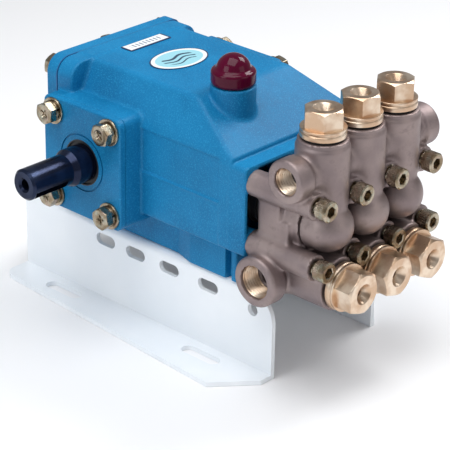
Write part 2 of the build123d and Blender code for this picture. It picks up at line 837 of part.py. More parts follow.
# ---- valve block: one casting with galleries, sleeves, domes, bosses and every bore
discharge_places = [(x, discharge_y) for x in bays]
inlet_places = [(x, inlet_z) for x in bays]
discharge_gallery = [(discharge_gallery_y, discharge_gallery_z)]
inlet_gallery = [(inlet_gallery_y, inlet_gallery_z)]
with BuildPart() as manifold_head:
    block((-block_half_x, block_front_y, block_bottom_z), (block_half_x, block_rear_y, block_top_z))
    fillet(manifold_head.edges().filter_by(Axis.X), radius=block_round)
    bars(front_plane(inlet_gallery_y), inlet_places, inlet_boss_r, inlet_gallery_y - inlet_boss_front_y)
    bars(side_plane(-port_collar_x), inlet_gallery, inlet_collar_r - waist, 2 * port_collar_x)
    bars(
        side_plane(-port_collar_x), discharge_gallery, discharge_collar_r - waist / 2, 2 * port_collar_x
    )
    for low in (-port_face_x, port_collar_x):
        bars(side_plane(low), inlet_gallery, inlet_collar_r, port_face_x - port_collar_x)
        bars(side_plane(low), discharge_gallery, discharge_collar_r, port_face_x - port_collar_x)
    # the casting between the discharge bosses and the block
    block(
        (-block_half_x, discharge_y, block_top_z - 12),
        (block_half_x, block_rear_y - 12, discharge_gallery_z),
    )
    bars(
        level_plane(discharge_boss_bottom_z),
        discharge_places,
        discharge_boss_r,
        discharge_boss_top_z - discharge_boss_bottom_z,
    )
    # domes over the pumping chambers
    dome_places = [(x, crank_z - dome_drop) for x in bays]
    dome_length = block_rear_y - 15 - dome_front_y - dome_r
    bars(front_plane(block_rear_y - 15), dome_places, dome_r, dome_length)
    with Locations(*[(x, dome_front_y + dome_r, crank_z - dome_drop) for x in bays]):
        Sphere(dome_r)
    # sleeves for the long screws
    bars(front_plane(case_front_y), screw_places, sleeve_r, case_front_y - sleeve_front_y)
    # spot faces that let the screw heads and washers in beside the bosses
    spot_depth = screw_washer + screw_head_height + 2
    bars(
        front_plane(sleeve_front_y), screw_places, screw_head_r + apart, spot_depth, mode=Mode.SUBTRACT
    )
    # bores
    bars(front_plane(block_rear_y + 1), bay_places, stuffing_r, stuffing_depth + 1, mode=Mode.SUBTRACT)
    bars(
        front_plane(block_rear_y),
        bay_places,
        pump_bore_r,
        block_rear_y - pump_bore_end_y,
        mode=Mode.SUBTRACT,
    )
    bars(
        front_plane(case_front_y + 1),
        screw_places,
        screw_r + through_gap,
        case_front_y - sleeve_front_y + 2,
        mode=Mode.SUBTRACT,
    )
    bars(level_plane(crank_z), discharge_places, 6, discharge_seat_z - crank_z, mode=Mode.SUBTRACT)
    bars(
        level_plane(discharge_seat_z - seat_height),
        discharge_places,
        seat_outer_r,
        seat_height + 1,
        mode=Mode.SUBTRACT,
    )
    bars(level_plane(discharge_seat_z), discharge_places, valve_chamber_r, 25, mode=Mode.SUBTRACT)
    bars(
        level_plane(discharge_boss_top_z - plug_shank - 1),
        discharge_places,
        plug_thread_r,
        plug_shank + 2,
        mode=Mode.SUBTRACT,
    )
    bars(
        front_plane(inlet_gallery_y),
        inlet_places,
        7,
        inlet_gallery_y - inlet_seat_y,
        mode=Mode.SUBTRACT,
    )
    bars(
        front_plane(inlet_seat_y + seat_height),
        inlet_places,
        seat_outer_r,
        seat_height + 1,
        mode=Mode.SUBTRACT,
    )
    bars(front_plane(inlet_seat_y), inlet_places, valve_chamber_r, 20, mode=Mode.SUBTRACT)
    bars(
        front_plane(inlet_boss_front_y + plug_shank + 1),
        inlet_places,
        plug_thread_r,
        plug_shank + 2,
        mode=Mode.SUBTRACT,
    )
    bars(
        level_plane(inlet_z),
        [(x, inlet_seat_y - 9) for x in bays],
        5.5,
        crank_z - inlet_z,
        mode=Mode.SUBTRACT,
    )
    bars(side_plane(-port_face_x), inlet_gallery, inlet_gallery_r, 2 * port_face_x, mode=Mode.SUBTRACT)
    bars(
        side_plane(-port_face_x),
        discharge_gallery,
        discharge_gallery_r,
        2 * port_face_x,
        mode=Mode.SUBTRACT,
    )
    for low in (-port_face_x, port_face_x - port_thread_length):
        bars(side_plane(low), inlet_gallery, inlet_port_r, port_thread_length, mode=Mode.SUBTRACT)
        bars(
            side_plane(low), discharge_gallery, discharge_port_r, port_thread_length, mode=Mode.SUBTRACT
        )
    # the seam between the block and the domes, on both ends
    for side in (-1, 1):
        low, high = sorted((side * (block_half_x - seam_depth), side * (block_half_x + 5)))
        block(
            (low, block_front_y - seam_width / 2, screw_zs[0] + sleeve_r),
            (high, block_front_y + seam_width / 2, screw_zs[1] - sleeve_r),
            mode=Mode.SUBTRACT,
        )
finish(manifold_head, "manifold_head")

# ---- long socket screws and their spring washers
with BuildPart() as manifold_washers:
    bars(front_plane(sleeve_front_y), screw_places, screw_head_r, screw_washer)
    bars(
        front_plane(sleeve_front_y),
        screw_places,
        screw_r + through_gap,
        screw_washer,
        mode=Mode.SUBTRACT,
    )
finish(manifold_washers, "manifold_washers")

with BuildPart() as manifold_bolts:
    head_y = sleeve_front_y - screw_washer
    bars(front_plane(head_y), screw_places, screw_head_r, screw_head_height)
    chamfer(manifold_bolts.faces().sort_by(Axis.Y)[: len(screw_places)].edges(), length=0.6)
    bars(
        front_plane(case_front_y + screw_thread_depth),
        screw_places,
        screw_r,
        case_front_y + screw_thread_depth - head_y,
    )
    hexes(front_plane(head_y - screw_head_height), screw_places, screw_socket, -4.0, mode=Mode.SUBTRACT)
finish(manifold_bolts, "manifold_bolts")

# ---- seats, valves and springs
with BuildPart() as discharge_seats:
    bars(level_plane(discharge_seat_z - seat_height), discharge_places, seat_outer_r, seat_height)
    bars(
        level_plane(discharge_seat_z - seat_height),
        discharge_places,
        seat_inner_r,
        seat_height,
        mode=Mode.SUBTRACT,
    )
finish(discharge_seats, "discharge_seats")

with BuildPart() as inlet_seats:
    bars(front_plane(inlet_seat_y + seat_height), inlet_places, seat_outer_r, seat_height)
    bars(
        front_plane(inlet_seat_y + seat_height),
        inlet_places,
        seat_inner_r,
        seat_height,
        mode=Mode.SUBTRACT,
    )
finish(inlet_seats, "inlet_seats")

discharge_plug_low_z = discharge_boss_top_z - plug_shank
inlet_plug_high_y = inlet_boss_front_y + plug_shank


def valve(plane, place):
    """A disc with a stem that the spring sits round."""
    bars(plane, [place], valve_r, valve_disc)
    bars(plane, [place], valve_stem_r, valve_disc + valve_stem_length)


def coil(plane, place, room):
    """A round wire coil that stands in the room between a valve and its plug."""
    turns_height = room - 2 * (spring_wire_r + apart)
    with BuildLine(Plane.XY, mode=Mode.PRIVATE) as path:
        Helix(pitch=spring_pitch, height=turns_height, radius=spring_r)
    with BuildSketch(Plane(origin=path.line @ 0, z_dir=path.line % 0), mode=Mode.PRIVATE) as wire:
        Circle(spring_wire_r)
    turn = sweep(wire.sketch, path=path.line, is_frenet=True, mode=Mode.PRIVATE)
    start = plane.location * Location((*place, spring_wire_r + apart))
    add(turn.solid().located(start) if isinstance(turn, Compound) else turn.located(start))


for number, x in enumerate(bays, 1):
    valve_low_z = discharge_seat_z + valve_gap
    with BuildPart() as discharge_valve:
        valve(level_plane(valve_low_z), (x, discharge_y))
    finish(discharge_valve, f"discharge_valve_{number}")

    valve_high_y = inlet_seat_y - valve_gap
    with BuildPart() as inlet_valve:
        valve(front_plane(valve_high_y), (x, inlet_z))
    finish(inlet_valve, f"inlet_valve_{number}")

    with BuildPart() as discharge_spring:
        spring_low_z = valve_low_z + valve_disc
        coil(level_plane(spring_low_z), (x, discharge_y), discharge_plug_low_z - spring_low_z)
    finish(discharge_spring, f"discharge_spring_{number}")

    with BuildPart() as inlet_spring:
        spring_high_y = valve_high_y - valve_disc
        coil(front_plane(spring_high_y), (x, inlet_z), spring_high_y - inlet_plug_high_y)
    finish(inlet_spring, f"inlet_spring_{number}")


# ---- plugs: threaded shank, ring, hexagon, with a conical recess and a hole in the head
def plug(plane, places, ring_r, across_flats, hex_height):
    """Plugs whose ring seats plug_gap off the boss face that the plane lies on."""
    bars(plane.offset(-plug_shank), places, plug_thread_r - thread_gap, plug_shank + plug_gap)
    bars(plane.offset(plug_gap), places, ring_r, plug_ring_height)
    top = plug_gap + plug_ring_height
    hexes(plane.offset(top), places, across_flats, hex_height, turn=12)
    head = plane.offset(top + hex_height)
    bars(
        head.offset(-plug_recess_depth),
        places,
        plug_hole_r,
        plug_recess_depth,
        mode=Mode.SUBTRACT,
        top_radius=plug_recess_r,
    )
    bars(
        head.offset(-plug_recess_depth - plug_hole_depth),
        places,
        plug_hole_r,
        plug_hole_depth + 1,
        mode=Mode.SUBTRACT,
    )


with BuildPart() as discharge_plugs:
    plug(
        level_plane(discharge_boss_top_z),
        discharge_places,
        discharge_ring_r,
        discharge_hex,
        discharge_hex_height,
    )
finish(discharge_plugs, "discharge_plugs")

with BuildPart() as inlet_plugs:
    plug(front_plane(inlet_boss_front_y), inlet_places, inlet_ring_r, inlet_hex, inlet_hex_height)
finish(inlet_plugs, "inlet_plugs")

with BuildPart() as plug_orings:
    ring_r = plug_thread_r + oring_r + 0.3
    for plane, places in (
        (level_plane(discharge_boss_top_z), discharge_places),
        (front_plane(inlet_boss_front_y), inlet_places),
    ):
        with Locations(*[plane.location * Location((u, v, plug_gap / 2)) for u, v in places]):
            Torus(ring_r, oring_r)
finish(plug_orings, "plug_orings")

# ---- rear cover, gasket, bolts, sight glass and drain plug
cover_front_y = case_rear_y + gasket
rear_outline = [
    (-case_foot_x, base_top_z + 3),
    (case_foot_x, base_top_z + 3),
    (case_foot_x, rear_flange_bottom_z),
    (rear_flange_x, rear_flange_bottom_z),
    (rear_flange_x, flange_right_z),
    (case_top_x, case_top_z),
    (-rear_flange_x, case_top_z),
    (-rear_flange_x, rear_flange_bottom_z),
    (-case_foot_x, rear_flange_bottom_z),
]


def rear_plate(y_front, depth):
    """A plate with the outline of the rear flange, standing behind y_front."""
    with BuildSketch(front_plane(y_front + depth), mode=Mode.PRIVATE) as outline:
        with BuildLine():
            Polyline(*rear_outline, close=True)
        make_face()
        top = outline.vertices().group_by(Axis.Y)[-1]
        fillet(top.sort_by(Axis.X)[:1], radius=rear_flange_corner)
        fillet(outline.vertices().group_by(Axis.Y)[-1].sort_by(Axis.X)[-1:], radius=rear_flange_soft)
    extrude(outline.sketch, amount=depth)


dish_half = rear_opening_half_x - 1
dish_low = rear_opening_low_z - 1
dish_high = rear_opening_high_z - 2
with BuildPart() as rear_cover_gasket:
    rear_plate(case_rear_y, gasket)
    block(
        (-rear_opening_half_x, case_rear_y - 1, rear_opening_low_z),
        (rear_opening_half_x, case_rear_y + 2, rear_opening_high_z),
        mode=Mode.SUBTRACT,
    )
    bars(
        front_plane(case_rear_y + 2),
        rear_bolts + [(drain_x, drain_z)],
        bolt_r + through_gap,
        4,
        mode=Mode.SUBTRACT,
    )
finish(rear_cover_gasket, "rear_cover_gasket")

with BuildPart() as rear_cover:
    rear_plate(cover_front_y, rear_cover_depth)
    with BuildSketch(front_plane(cover_front_y + rear_cover_depth + rear_cover_dish)):
        with Locations((0, (dish_low + dish_high) / 2)):
            RectangleRounded(2 * dish_half, dish_high - dish_low, 8)
    extrude(amount=rear_cover_dish)
    fillet(rear_cover.faces().sort_by(Axis.Y)[-1].edges(), radius=2.5)
    block(
        (-dish_half + 5, cover_front_y - 1, rear_opening_low_z + 4),
        (
            dish_half - 5,
            cover_front_y + rear_cover_depth + rear_cover_dish - 4,
            rear_opening_high_z - 7,
        ),
        mode=Mode.SUBTRACT,
    )
    back = front_plane(cover_front_y + rear_cover_depth + rear_cover_dish + 1)
    bars(back, [(0, sight_glass_z)], sight_glass_r, 8, mode=Mode.SUBTRACT)
    bars(
        front_plane(cover_front_y + rear_cover_depth + 1),
        rear_bolts,
        bolt_r + through_gap,
        rear_cover_depth + 2,
        mode=Mode.SUBTRACT,
    )
    bars(
        front_plane(cover_front_y + rear_cover_depth + 1),
        [(drain_x, drain_z)],
        drain_r,
        rear_cover_depth - 1,
        mode=Mode.SUBTRACT,
    )
finish(rear_cover, "rear_cover")

with BuildPart() as rear_cover_bolts:
    head_seat_y = cover_front_y + rear_cover_depth
    hexes(front_plane(head_seat_y + bolt_head), rear_bolts, bolt_hex, bolt_head)
    bars(
        front_plane(head_seat_y), rear_bolts, bolt_r, rear_cover_depth + gasket + rear_thread_depth - 1
    )
finish(rear_cover_bolts, "rear_cover_bolts")

with BuildPart() as sight_glass:
    glass_y = cover_front_y + rear_cover_depth + rear_cover_dish + 1
    bars(front_plane(glass_y), [(0, sight_glass_z)], sight_glass_r, 6)
finish(sight_glass, "sight_glass")

with BuildPart() as drain_plug:
    hexes(front_plane(head_seat_y + 5), [(drain_x, drain_z)], 14, 5)
    bars(front_plane(head_seat_y), [(drain_x, drain_z)], drain_r, rear_cover_depth - 2.5)
finish(drain_plug, "drain_plug")

# ---- oil filler cap
with BuildPart() as oil_filler_cap:
    cap_low_z = filler_boss_top_z + apart
    here = [(filler_x, filler_y)]
    bars(level_plane(cap_low_z - cap_stub_depth), here, filler_bore_r - running, cap_stub_depth)
    bars(level_plane(cap_low_z), here, cap_collar_r, cap_collar_height)
    fillet(oil_filler_cap.faces().sort_by(Axis.Z)[-1].edges(), radius=cap_round)
    with Locations((filler_x, filler_y, cap_top_z - cap_dome_r)):
        Sphere(cap_dome_r)
finish(oil_filler_cap, "oil_filler_cap")

# ---- labels on the top plane
with BuildPart() as badge_plate:
    with BuildSketch(level_plane(case_top_z)):
        with Locations(badge_centre):
            Ellipse(badge_size[0] / 2, badge_size[1] / 2)
    extrude(amount=label_lift)
finish(badge_plate, "badge_plate")

with BuildPart() as spec_label:
    with BuildSketch(level_plane(case_top_z)):
        with Locations(spec_centre):
            RectangleRounded(spec_size[0], spec_size[1], 1.2)
    extrude(amount=label_lift)
finish(spec_label, "spec_label")

# ---- base: one bent sheet, a channel with outward feet
with BuildPart() as base_plate:
    with BuildSketch(front_plane(base_half_length)) as channel:
        with Locations((0, base_top_z / 2)):
            Rectangle(2 * base_wall_x, base_top_z)
        fillet(channel.vertices().group_by(Axis.Y)[-1], radius=base_bend)
    extrude(amount=2 * base_half_length)
    with BuildSketch(front_plane(base_half_length)) as inside:
        with Locations((0, (base_top_z - sheet) / 2)):
            Rectangle(2 * (base_wall_x - sheet), base_top_z - sheet)
        fillet(inside.vertices().group_by(Axis.Y)[-1], radius=base_bend - sheet)
    extrude(amount=2 * base_half_length, mode=Mode.SUBTRACT)
    with BuildSketch(level_plane(0)) as feet:
        for side, reach in ((-1, foot_reach_left), (1, foot_reach_right)):
            with BuildLine():
                Polyline(
                    (side * (base_wall_x - sheet), base_half_length),
                    (side * (base_wall_x + foot_rear_reach), base_half_length),
                    (side * (base_wall_x + reach), foot_flare_y),
                    (side * (base_wall_x + reach - foot_chamfer_x), -base_half_length),
                    (side * (base_wall_x - sheet), -base_half_length),
                    close=True,
                )
            make_face()
        rear = feet.vertices().group_by(Axis.Y)[-1].sort_by(Axis.X)
        fillet(rear[:1] + rear[-1:], radius=foot_rear_round)
    extrude(amount=sheet)
    # the nose of each wall is rounded off
    with BuildSketch(side_plane(0)):
        with Locations((-base_half_length, base_top_z)):
            Rectangle(2 * base_nose_round, 2 * base_nose_round)
        with Locations((-base_half_length + base_nose_round, base_top_z - base_nose_round)):
            Circle(base_nose_round, mode=Mode.SUBTRACT)
        with Locations((-base_half_length + base_nose_round, base_top_z - 2 * base_nose_round)):
            Rectangle(3 * base_nose_round, 2 * base_nose_round, mode=Mode.SUBTRACT)
    extrude(amount=base_wall_x + 1, both=True, mode=Mode.SUBTRACT)
    # anchor slots in the feet, lightening slots and a round hole in the walls, bolt holes on top
    with BuildSketch(level_plane(-1)):
        with Locations(*[(i * anchor_x, j * anchor_y) for i in (-1, 1) for j in (-1, 1)]):
            SlotOverall(anchor_length, anchor_width, rotation=90)
    extrude(amount=sheet + 2, mode=Mode.SUBTRACT)
    with BuildSketch(side_plane(-base_wall_x - 1)):
        with Locations(*[(y, side_slot_z) for y in side_slot_ys]):
            SlotOverall(side_slot_length, side_slot_width)
        with Locations((nose_hole_y, nose_hole_z)):
            Circle(nose_hole_r)
    extrude(amount=2 * base_wall_x + 2, mode=Mode.SUBTRACT)
    bars(
        level_plane(base_top_z - sheet - 1),
        base_bolt_places,
        bolt_r + through_gap,
        sheet + 2,
        mode=Mode.SUBTRACT,
    )
finish(base_plate, "base_plate")

with BuildPart() as base_bolts:
    low_z = base_top_z - sheet - bolt_head
    hexes(level_plane(low_z), base_bolt_places, bolt_hex, bolt_head)
    bars(level_plane(low_z), base_bolt_places, bolt_r, bolt_head + sheet + base_thread_depth - 2)
finish(base_bolts, "base_bolts")
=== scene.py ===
# %% [markdown]
# # A triplex pressure pump
# The CAD model fixes every size and every joint. This lesson gives the pump its looks: the two
# castings are remade with the soft fillets that a mould leaves, the screws and plugs get their
# chamfers, sockets and threads, and every surface gets a procedural finish.
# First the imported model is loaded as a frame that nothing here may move.

# %% Load the frame
import json
import bpy
import bmesh
import numpy as np
from math import cos, sin, radians, pi, tau
from mathutils import Matrix, Vector


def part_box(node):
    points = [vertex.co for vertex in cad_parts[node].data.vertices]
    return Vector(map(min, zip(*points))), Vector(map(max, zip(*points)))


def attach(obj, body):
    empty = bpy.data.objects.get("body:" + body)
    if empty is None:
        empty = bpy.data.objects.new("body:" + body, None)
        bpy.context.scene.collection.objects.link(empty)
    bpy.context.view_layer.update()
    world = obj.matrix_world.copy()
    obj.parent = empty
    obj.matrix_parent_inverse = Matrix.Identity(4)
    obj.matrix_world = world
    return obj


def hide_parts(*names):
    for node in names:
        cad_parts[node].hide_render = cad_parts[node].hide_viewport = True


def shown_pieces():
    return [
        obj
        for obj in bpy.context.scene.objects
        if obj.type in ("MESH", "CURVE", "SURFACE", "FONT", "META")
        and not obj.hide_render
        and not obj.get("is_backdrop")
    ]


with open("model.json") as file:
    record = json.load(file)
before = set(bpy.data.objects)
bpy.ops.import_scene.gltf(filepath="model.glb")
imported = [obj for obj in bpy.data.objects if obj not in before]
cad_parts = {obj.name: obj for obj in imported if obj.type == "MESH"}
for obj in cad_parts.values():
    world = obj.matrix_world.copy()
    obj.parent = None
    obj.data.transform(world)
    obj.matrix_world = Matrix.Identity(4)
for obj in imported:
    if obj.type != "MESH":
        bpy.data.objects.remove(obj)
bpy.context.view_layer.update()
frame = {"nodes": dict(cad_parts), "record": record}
HOUSING = "housing"
MM = 0.001

# %% [markdown]
# ## Shader sums as plain Python
# A material here is a small class that makes its own nodes. A socket is wrapped so that an
# expression such as `1 - mask * 0.3` adds the Math nodes by itself. Colours go through Mix.

# %% Sockets that can be added and multiplied


class Val:
    """A number that varies over a surface. Sums of it become Math nodes."""

    def __init__(self, finish, socket):
        self.finish, self.socket = finish, socket

    def _math(self, operation, first, second):
        made = self.finish.node("ShaderNodeMath", {"operation": operation}, {0: first, 1: second})
        return Val(self.finish, made.outputs[0])

    def __add__(self, other):
        return self._math("ADD", self, other)

    def __sub__(self, other):
        return self._math("SUBTRACT", self, other)

    def __rsub__(self, other):
        return self._math("SUBTRACT", other, self)

    def __mul__(self, other):
        return self._math("MULTIPLY", self, other)

    def __truediv__(self, other):
        return self._math("DIVIDE", self, other)

    def __pow__(self, other):
        return self._math("POWER", self, other)

    def most(self, other):
        return self._math("MAXIMUM", self, other)

    def size(self):
        return self._math("ABSOLUTE", self, 0)

    def step(self, low, high):
        """0 below low, 1 above high and smooth between; low may be the larger."""
        flip = low > high
        ends = {1: min(low, high), 2: max(low, high)}
        smooth = {"interpolation_type": "SMOOTHSTEP"}
        made = self.finish.node("ShaderNodeMapRange", smooth, {0: self, **ends})
        out = Val(self.finish, made.outputs[0])
        return 1 - out if flip else out

    __radd__, __rmul__ = __add__, __mul__


class Finish:
    """One material on Object coordinates, and short ways to make its nodes."""

    def __init__(self, name, colour, rough, metal=0.0, **constants):
        self.mat = bpy.data.materials.new(name)
        self.mat.use_nodes = True
        self.mat.diffuse_color = (*colour, 1)
        self.tree = self.mat.node_tree
        self.shader = self.tree.nodes["Principled BSDF"]
        self.place = self.node("ShaderNodeTexCoord").outputs["Object"]
        self.set(**{"Base Color": (*colour, 1), "Roughness": rough, "Metallic": metal})
        for key, value in constants.items():
            self.shader.inputs[key.replace("_", " ")].default_value = value

    def node(self, kind, settings=None, sockets=None):
        """A node of any type: its settings first, then the values or links of its sockets."""
        made = self.tree.nodes.new(kind)
        for key, value in (settings or {}).items():
            setattr(made, key, value)
        for key, value in (sockets or {}).items():
            self.feed(made.inputs[key], value)
        return made

    def feed(self, socket, value):
        value = value.socket if isinstance(value, Val) else value
        if isinstance(value, bpy.types.NodeSocket):
            self.tree.links.new(value, socket)
        else:
            socket.default_value = value

    def set(self, **sockets):
        for key, value in sockets.items():
            self.feed(self.shader.inputs[key], value)

    def axes(self, centre=(0, 0, 0)):
        """Object coordinates about a centre, in metres, as three numbers."""
        sockets = {"Vector": self.place, "Location": [-c for c in centre]}
        moved = self.node("ShaderNodeMapping", None, sockets)
        split = self.node("ShaderNodeSeparateXYZ", None, {0: moved.outputs[0]})
        return [Val(self, s) for s in split.outputs]

    def noise(self, grain_mm, detail=3.0, rough=0.55, stretch=(1, 1, 1)):
        """Noise of a grain size in millimetres, about 0.5 in the mean."""
        moved = self.node("ShaderNodeMapping", None, {"Vector": self.place, "Scale": stretch})
        sockets = {"Vector": moved.outputs[0], "Scale": 1 / (grain_mm * MM)}
        sockets.update({"Detail": detail, "Roughness": rough})
        return Val(self, self.node("ShaderNodeTexNoise", None, sockets).outputs[0])

    def mix(self, factor, first, second):
        """Two colours mixed by a number."""
        made = self.node("ShaderNodeMix", {"data_type": "RGBA"}, {0: factor})
        for socket, value in ((made.inputs[6], first), (made.inputs[7], second)):
            plain = isinstance(value, tuple) and len(value) == 3
            self.feed(socket, (*value, 1) if plain else value)
        return made.outputs[2]

    def bump(self, height, depth_mm, strength=1.0):
        """A height of 0 to 1 that stands depth_mm proud."""
        sockets = {"Height": height, "Distance": depth_mm * MM, "Strength": strength}
        self.set(Normal=self.node("ShaderNodeBump", None, sockets).outputs[0])


# %% [markdown]
# ## The finishes
# Satin blue enamel over a sand casting shows a faint grain and slow drifts of gloss. The valve
# block is shot-blasted bronze: rough, slightly pink, mottled. Plugs are the same family of metal,
# but turned, so they are brighter and carry fine tool rings. Zinc plate is passivated yellow and
# shows weak rainbow patches. The shaft is blackened and polished.

# %% Painted, cast and turned metal


def blue_enamel():
    f = Finish("blue_enamel", (0.006, 0.170, 0.39), 0.5, Specular_IOR_Level=0.2)
    cloud, grain, speck = f.noise(38), f.noise(1.6, 4), f.noise(0.8, 2)
    colour = f.mix(cloud.step(0.35, 0.7), (0.003, 0.148, 0.340), (0.006, 0.190, 0.415))
    colour = f.mix(speck.step(0.50, 0.70) * 0.5, colour, (0.030, 0.33, 0.60))
    f.set(**{"Base Color": colour, "Roughness": 0.34 + cloud * 0.12 + grain * 0.08})
    f.bump(grain * 0.5 + speck * 0.5, 0.34, 0.8)
    return f.mat


def blasted_bronze():
    f = Finish("blasted_bronze", (0.33, 0.27, 0.265), 0.46, 0.85)
    cloud, patch, grain = f.noise(24), f.noise(6, 3), f.noise(0.6, 4)
    colour = f.mix(cloud.step(0.35, 0.68), (0.26, 0.205, 0.205), (0.37, 0.295, 0.28))
    colour = f.mix(patch.step(0.52, 0.78) * 0.5, colour, (0.20, 0.155, 0.160))
    f.set(**{"Base Color": colour, "Roughness": 0.40 + patch * 0.10 + grain * 0.12})
    f.bump(grain * 0.7 + patch * 0.3, 0.14, 0.7)
    return f.mat


def turned_bronze():
    f = Finish("turned_bronze", (0.74, 0.60, 0.48), 0.26, 1.0)
    cloud, scratch = f.noise(13), f.noise(0.5, 3, stretch=(1, 1, 9))
    colour = f.mix(cloud.step(0.38, 0.66), (0.58, 0.40, 0.27), (0.80, 0.66, 0.52))
    f.set(**{"Base Color": colour, "Roughness": 0.20 + cloud * 0.14 + scratch * 0.08})
    f.bump(scratch, 0.04, 0.5)
    return f.mat


def yellow_zinc():
    f = Finish("yellow_zinc", (0.38, 0.32, 0.24), 0.27, 1.0)
    cloud, tint, grain = f.noise(7), f.noise(4, 2), f.noise(0.5, 3)
    colour = f.mix(cloud.step(0.40, 0.62), (0.44, 0.38, 0.29), (0.25, 0.19, 0.12))
    colour = f.mix(tint.step(0.55, 0.68) * 0.35, colour, (0.38, 0.46, 0.40))
    colour = f.mix(tint.step(0.45, 0.36) * 0.35, colour, (0.44, 0.29, 0.26))
    f.set(**{"Base Color": colour, "Roughness": 0.18 + cloud * 0.14 + grain * 0.06})
    f.bump(grain, 0.03, 0.5)
    return f.mat


def black_steel():
    f = Finish("black_steel", (0.012, 0.018, 0.045), 0.2, 0.75)
    cloud, turn = f.noise(16), f.noise(0.35, 3, stretch=(9, 1, 1))
    colour = f.mix(cloud.step(0.4, 0.7), (0.010, 0.015, 0.040), (0.022, 0.034, 0.075))
    f.set(**{"Base Color": colour, "Roughness": 0.14 + cloud * 0.10 + turn * 0.08})
    f.bump(turn, 0.03, 0.4)
    return f.mat


def ground_steel(name, colour, rough, metal=1.0):
    f = Finish(name, colour, rough, metal)
    cloud, turn = f.noise(9), f.noise(0.4, 3)
    f.set(Roughness=rough * 0.7 + cloud * rough * 0.4 + turn * rough * 0.2)
    f.set(**{"Base Color": f.mix(cloud.step(0.35, 0.7), tuple(0.85 * c for c in colour), colour)})
    f.bump(turn, 0.02, 0.4)
    return f.mat


# %% [markdown]
# Moulded and rubber pieces need less: a low bump, a little change of gloss, and the right
# transparency for the sight glass. The base is a pale powder coat with the orange-peel ripple
# that such a coat has.

# %% Plastic, rubber, powder coat and glass


def moulded(name, colour, rough, ripple_mm, depth_mm, **constants):
    f = Finish(name, colour, rough, **constants)
    cloud, ripple = f.noise(11), f.noise(ripple_mm, 3)
    f.set(**{"Base Color": f.mix(cloud.step(0.3, 0.7), tuple(0.8 * c for c in colour), colour)})
    f.set(Roughness=rough * 0.8 + cloud * rough * 0.4)
    f.bump(ripple, depth_mm, 0.6)
    return f.mat


def powder_coat():
    f = Finish("powder_coat", (0.88, 0.92, 0.96), 0.34, Coat_Weight=0.25, Coat_Roughness=0.2)
    cloud, peel = f.noise(60), f.noise(2.2, 2)
    f.set(**{"Base Color": f.mix(cloud.step(0.35, 0.7), (0.86, 0.90, 0.94), (0.92, 0.95, 0.98))})
    f.set(Roughness=0.28 + cloud * 0.12)
    f.bump(peel, 0.06, 0.4)
    return f.mat


def sight_window():
    f = Finish("sight_window", (0.85, 0.88, 0.80), 0.06, Transmission_Weight=0.9, IOR=1.49)
    oil = f.axes()[2].step(0.0965, 0.0960)
    f.set(**{"Base Color": f.mix(oil, (0.90, 0.93, 0.92), (0.85, 0.60, 0.22))})
    f.set(Roughness=0.05 + f.noise(3) * 0.04)
    return f.mat


# %% [markdown]
# The two labels are printed film. Their marks are worked out from the distance to the label's
# middle: rings for the oval, a border and a row of plain ticks for the other. Nothing spells
# anything.

# %% Printed labels
NAVY, WHITE = (0.008, 0.022, 0.085), (0.86, 0.90, 0.93)


def middle(node):
    low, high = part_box(node)
    return [(a + b) / 2 for a, b in zip(low, high)], [(b - a) / 2 for a, b in zip(low, high)]


def oval_badge():
    centre, half = middle("badge_plate")
    f = Finish("oval_badge", WHITE, 0.25, Coat_Weight=0.5, Coat_Roughness=0.08)
    x, y, z = f.axes(centre)
    reach = ((x / half[0]) ** 2 + (y / half[1]) ** 2) ** 0.5
    colour = f.mix(reach.step(0.965, 0.945), NAVY, WHITE)
    colour = f.mix(reach.step(0.83, 0.81), colour, (0.32, 0.66, 0.76))
    turn = f.node("ShaderNodeMath", {"operation": "SINE"}, {0: x * (2.2 * pi / half[0])})
    wave = Val(f, turn.outputs[0]) * (0.10 * half[1])
    for offset, thick in ((0.22, 0.075), (-0.08, 0.055), (-0.36, 0.04)):
        band = (y - offset * half[1] - wave).size()
        mark = band.step(thick * half[1] * 1.2, thick * half[1] * 0.8) * reach.step(0.62, 0.56)
        colour = f.mix(mark, colour, (0.015, 0.05, 0.10))
    f.set(**{"Base Color": colour, "Roughness": 0.20 + f.noise(5) * 0.1})
    return f.mat


def tick_label():
    centre, half = middle("spec_label")
    f = Finish("tick_label", WHITE, 0.3, Coat_Weight=0.4, Coat_Roughness=0.1)
    x, y, z = f.axes(centre)
    edge = (x.size() - half[0]).most(y.size() - half[1])
    colour = f.mix(edge.step(-1.5 * MM, -1.2 * MM), WHITE, NAVY)
    comb = f.node("ShaderNodeMath", {"operation": "PINGPONG"}, {0: x + half[0], 1: 1.55 * MM})
    tick = Val(f, comb.outputs[0]).step(0.80 * MM, 1.00 * MM)
    tick = tick * y.size().step(2.4 * MM, 2.1 * MM) * x.size().step(13.2 * MM, 13.0 * MM)
    colour = f.mix(tick * 0.85, colour, (0.10, 0.13, 0.20))
    f.set(**{"Base Color": colour, "Roughness": 0.24 + f.noise(5) * 0.1})
    return f.mat


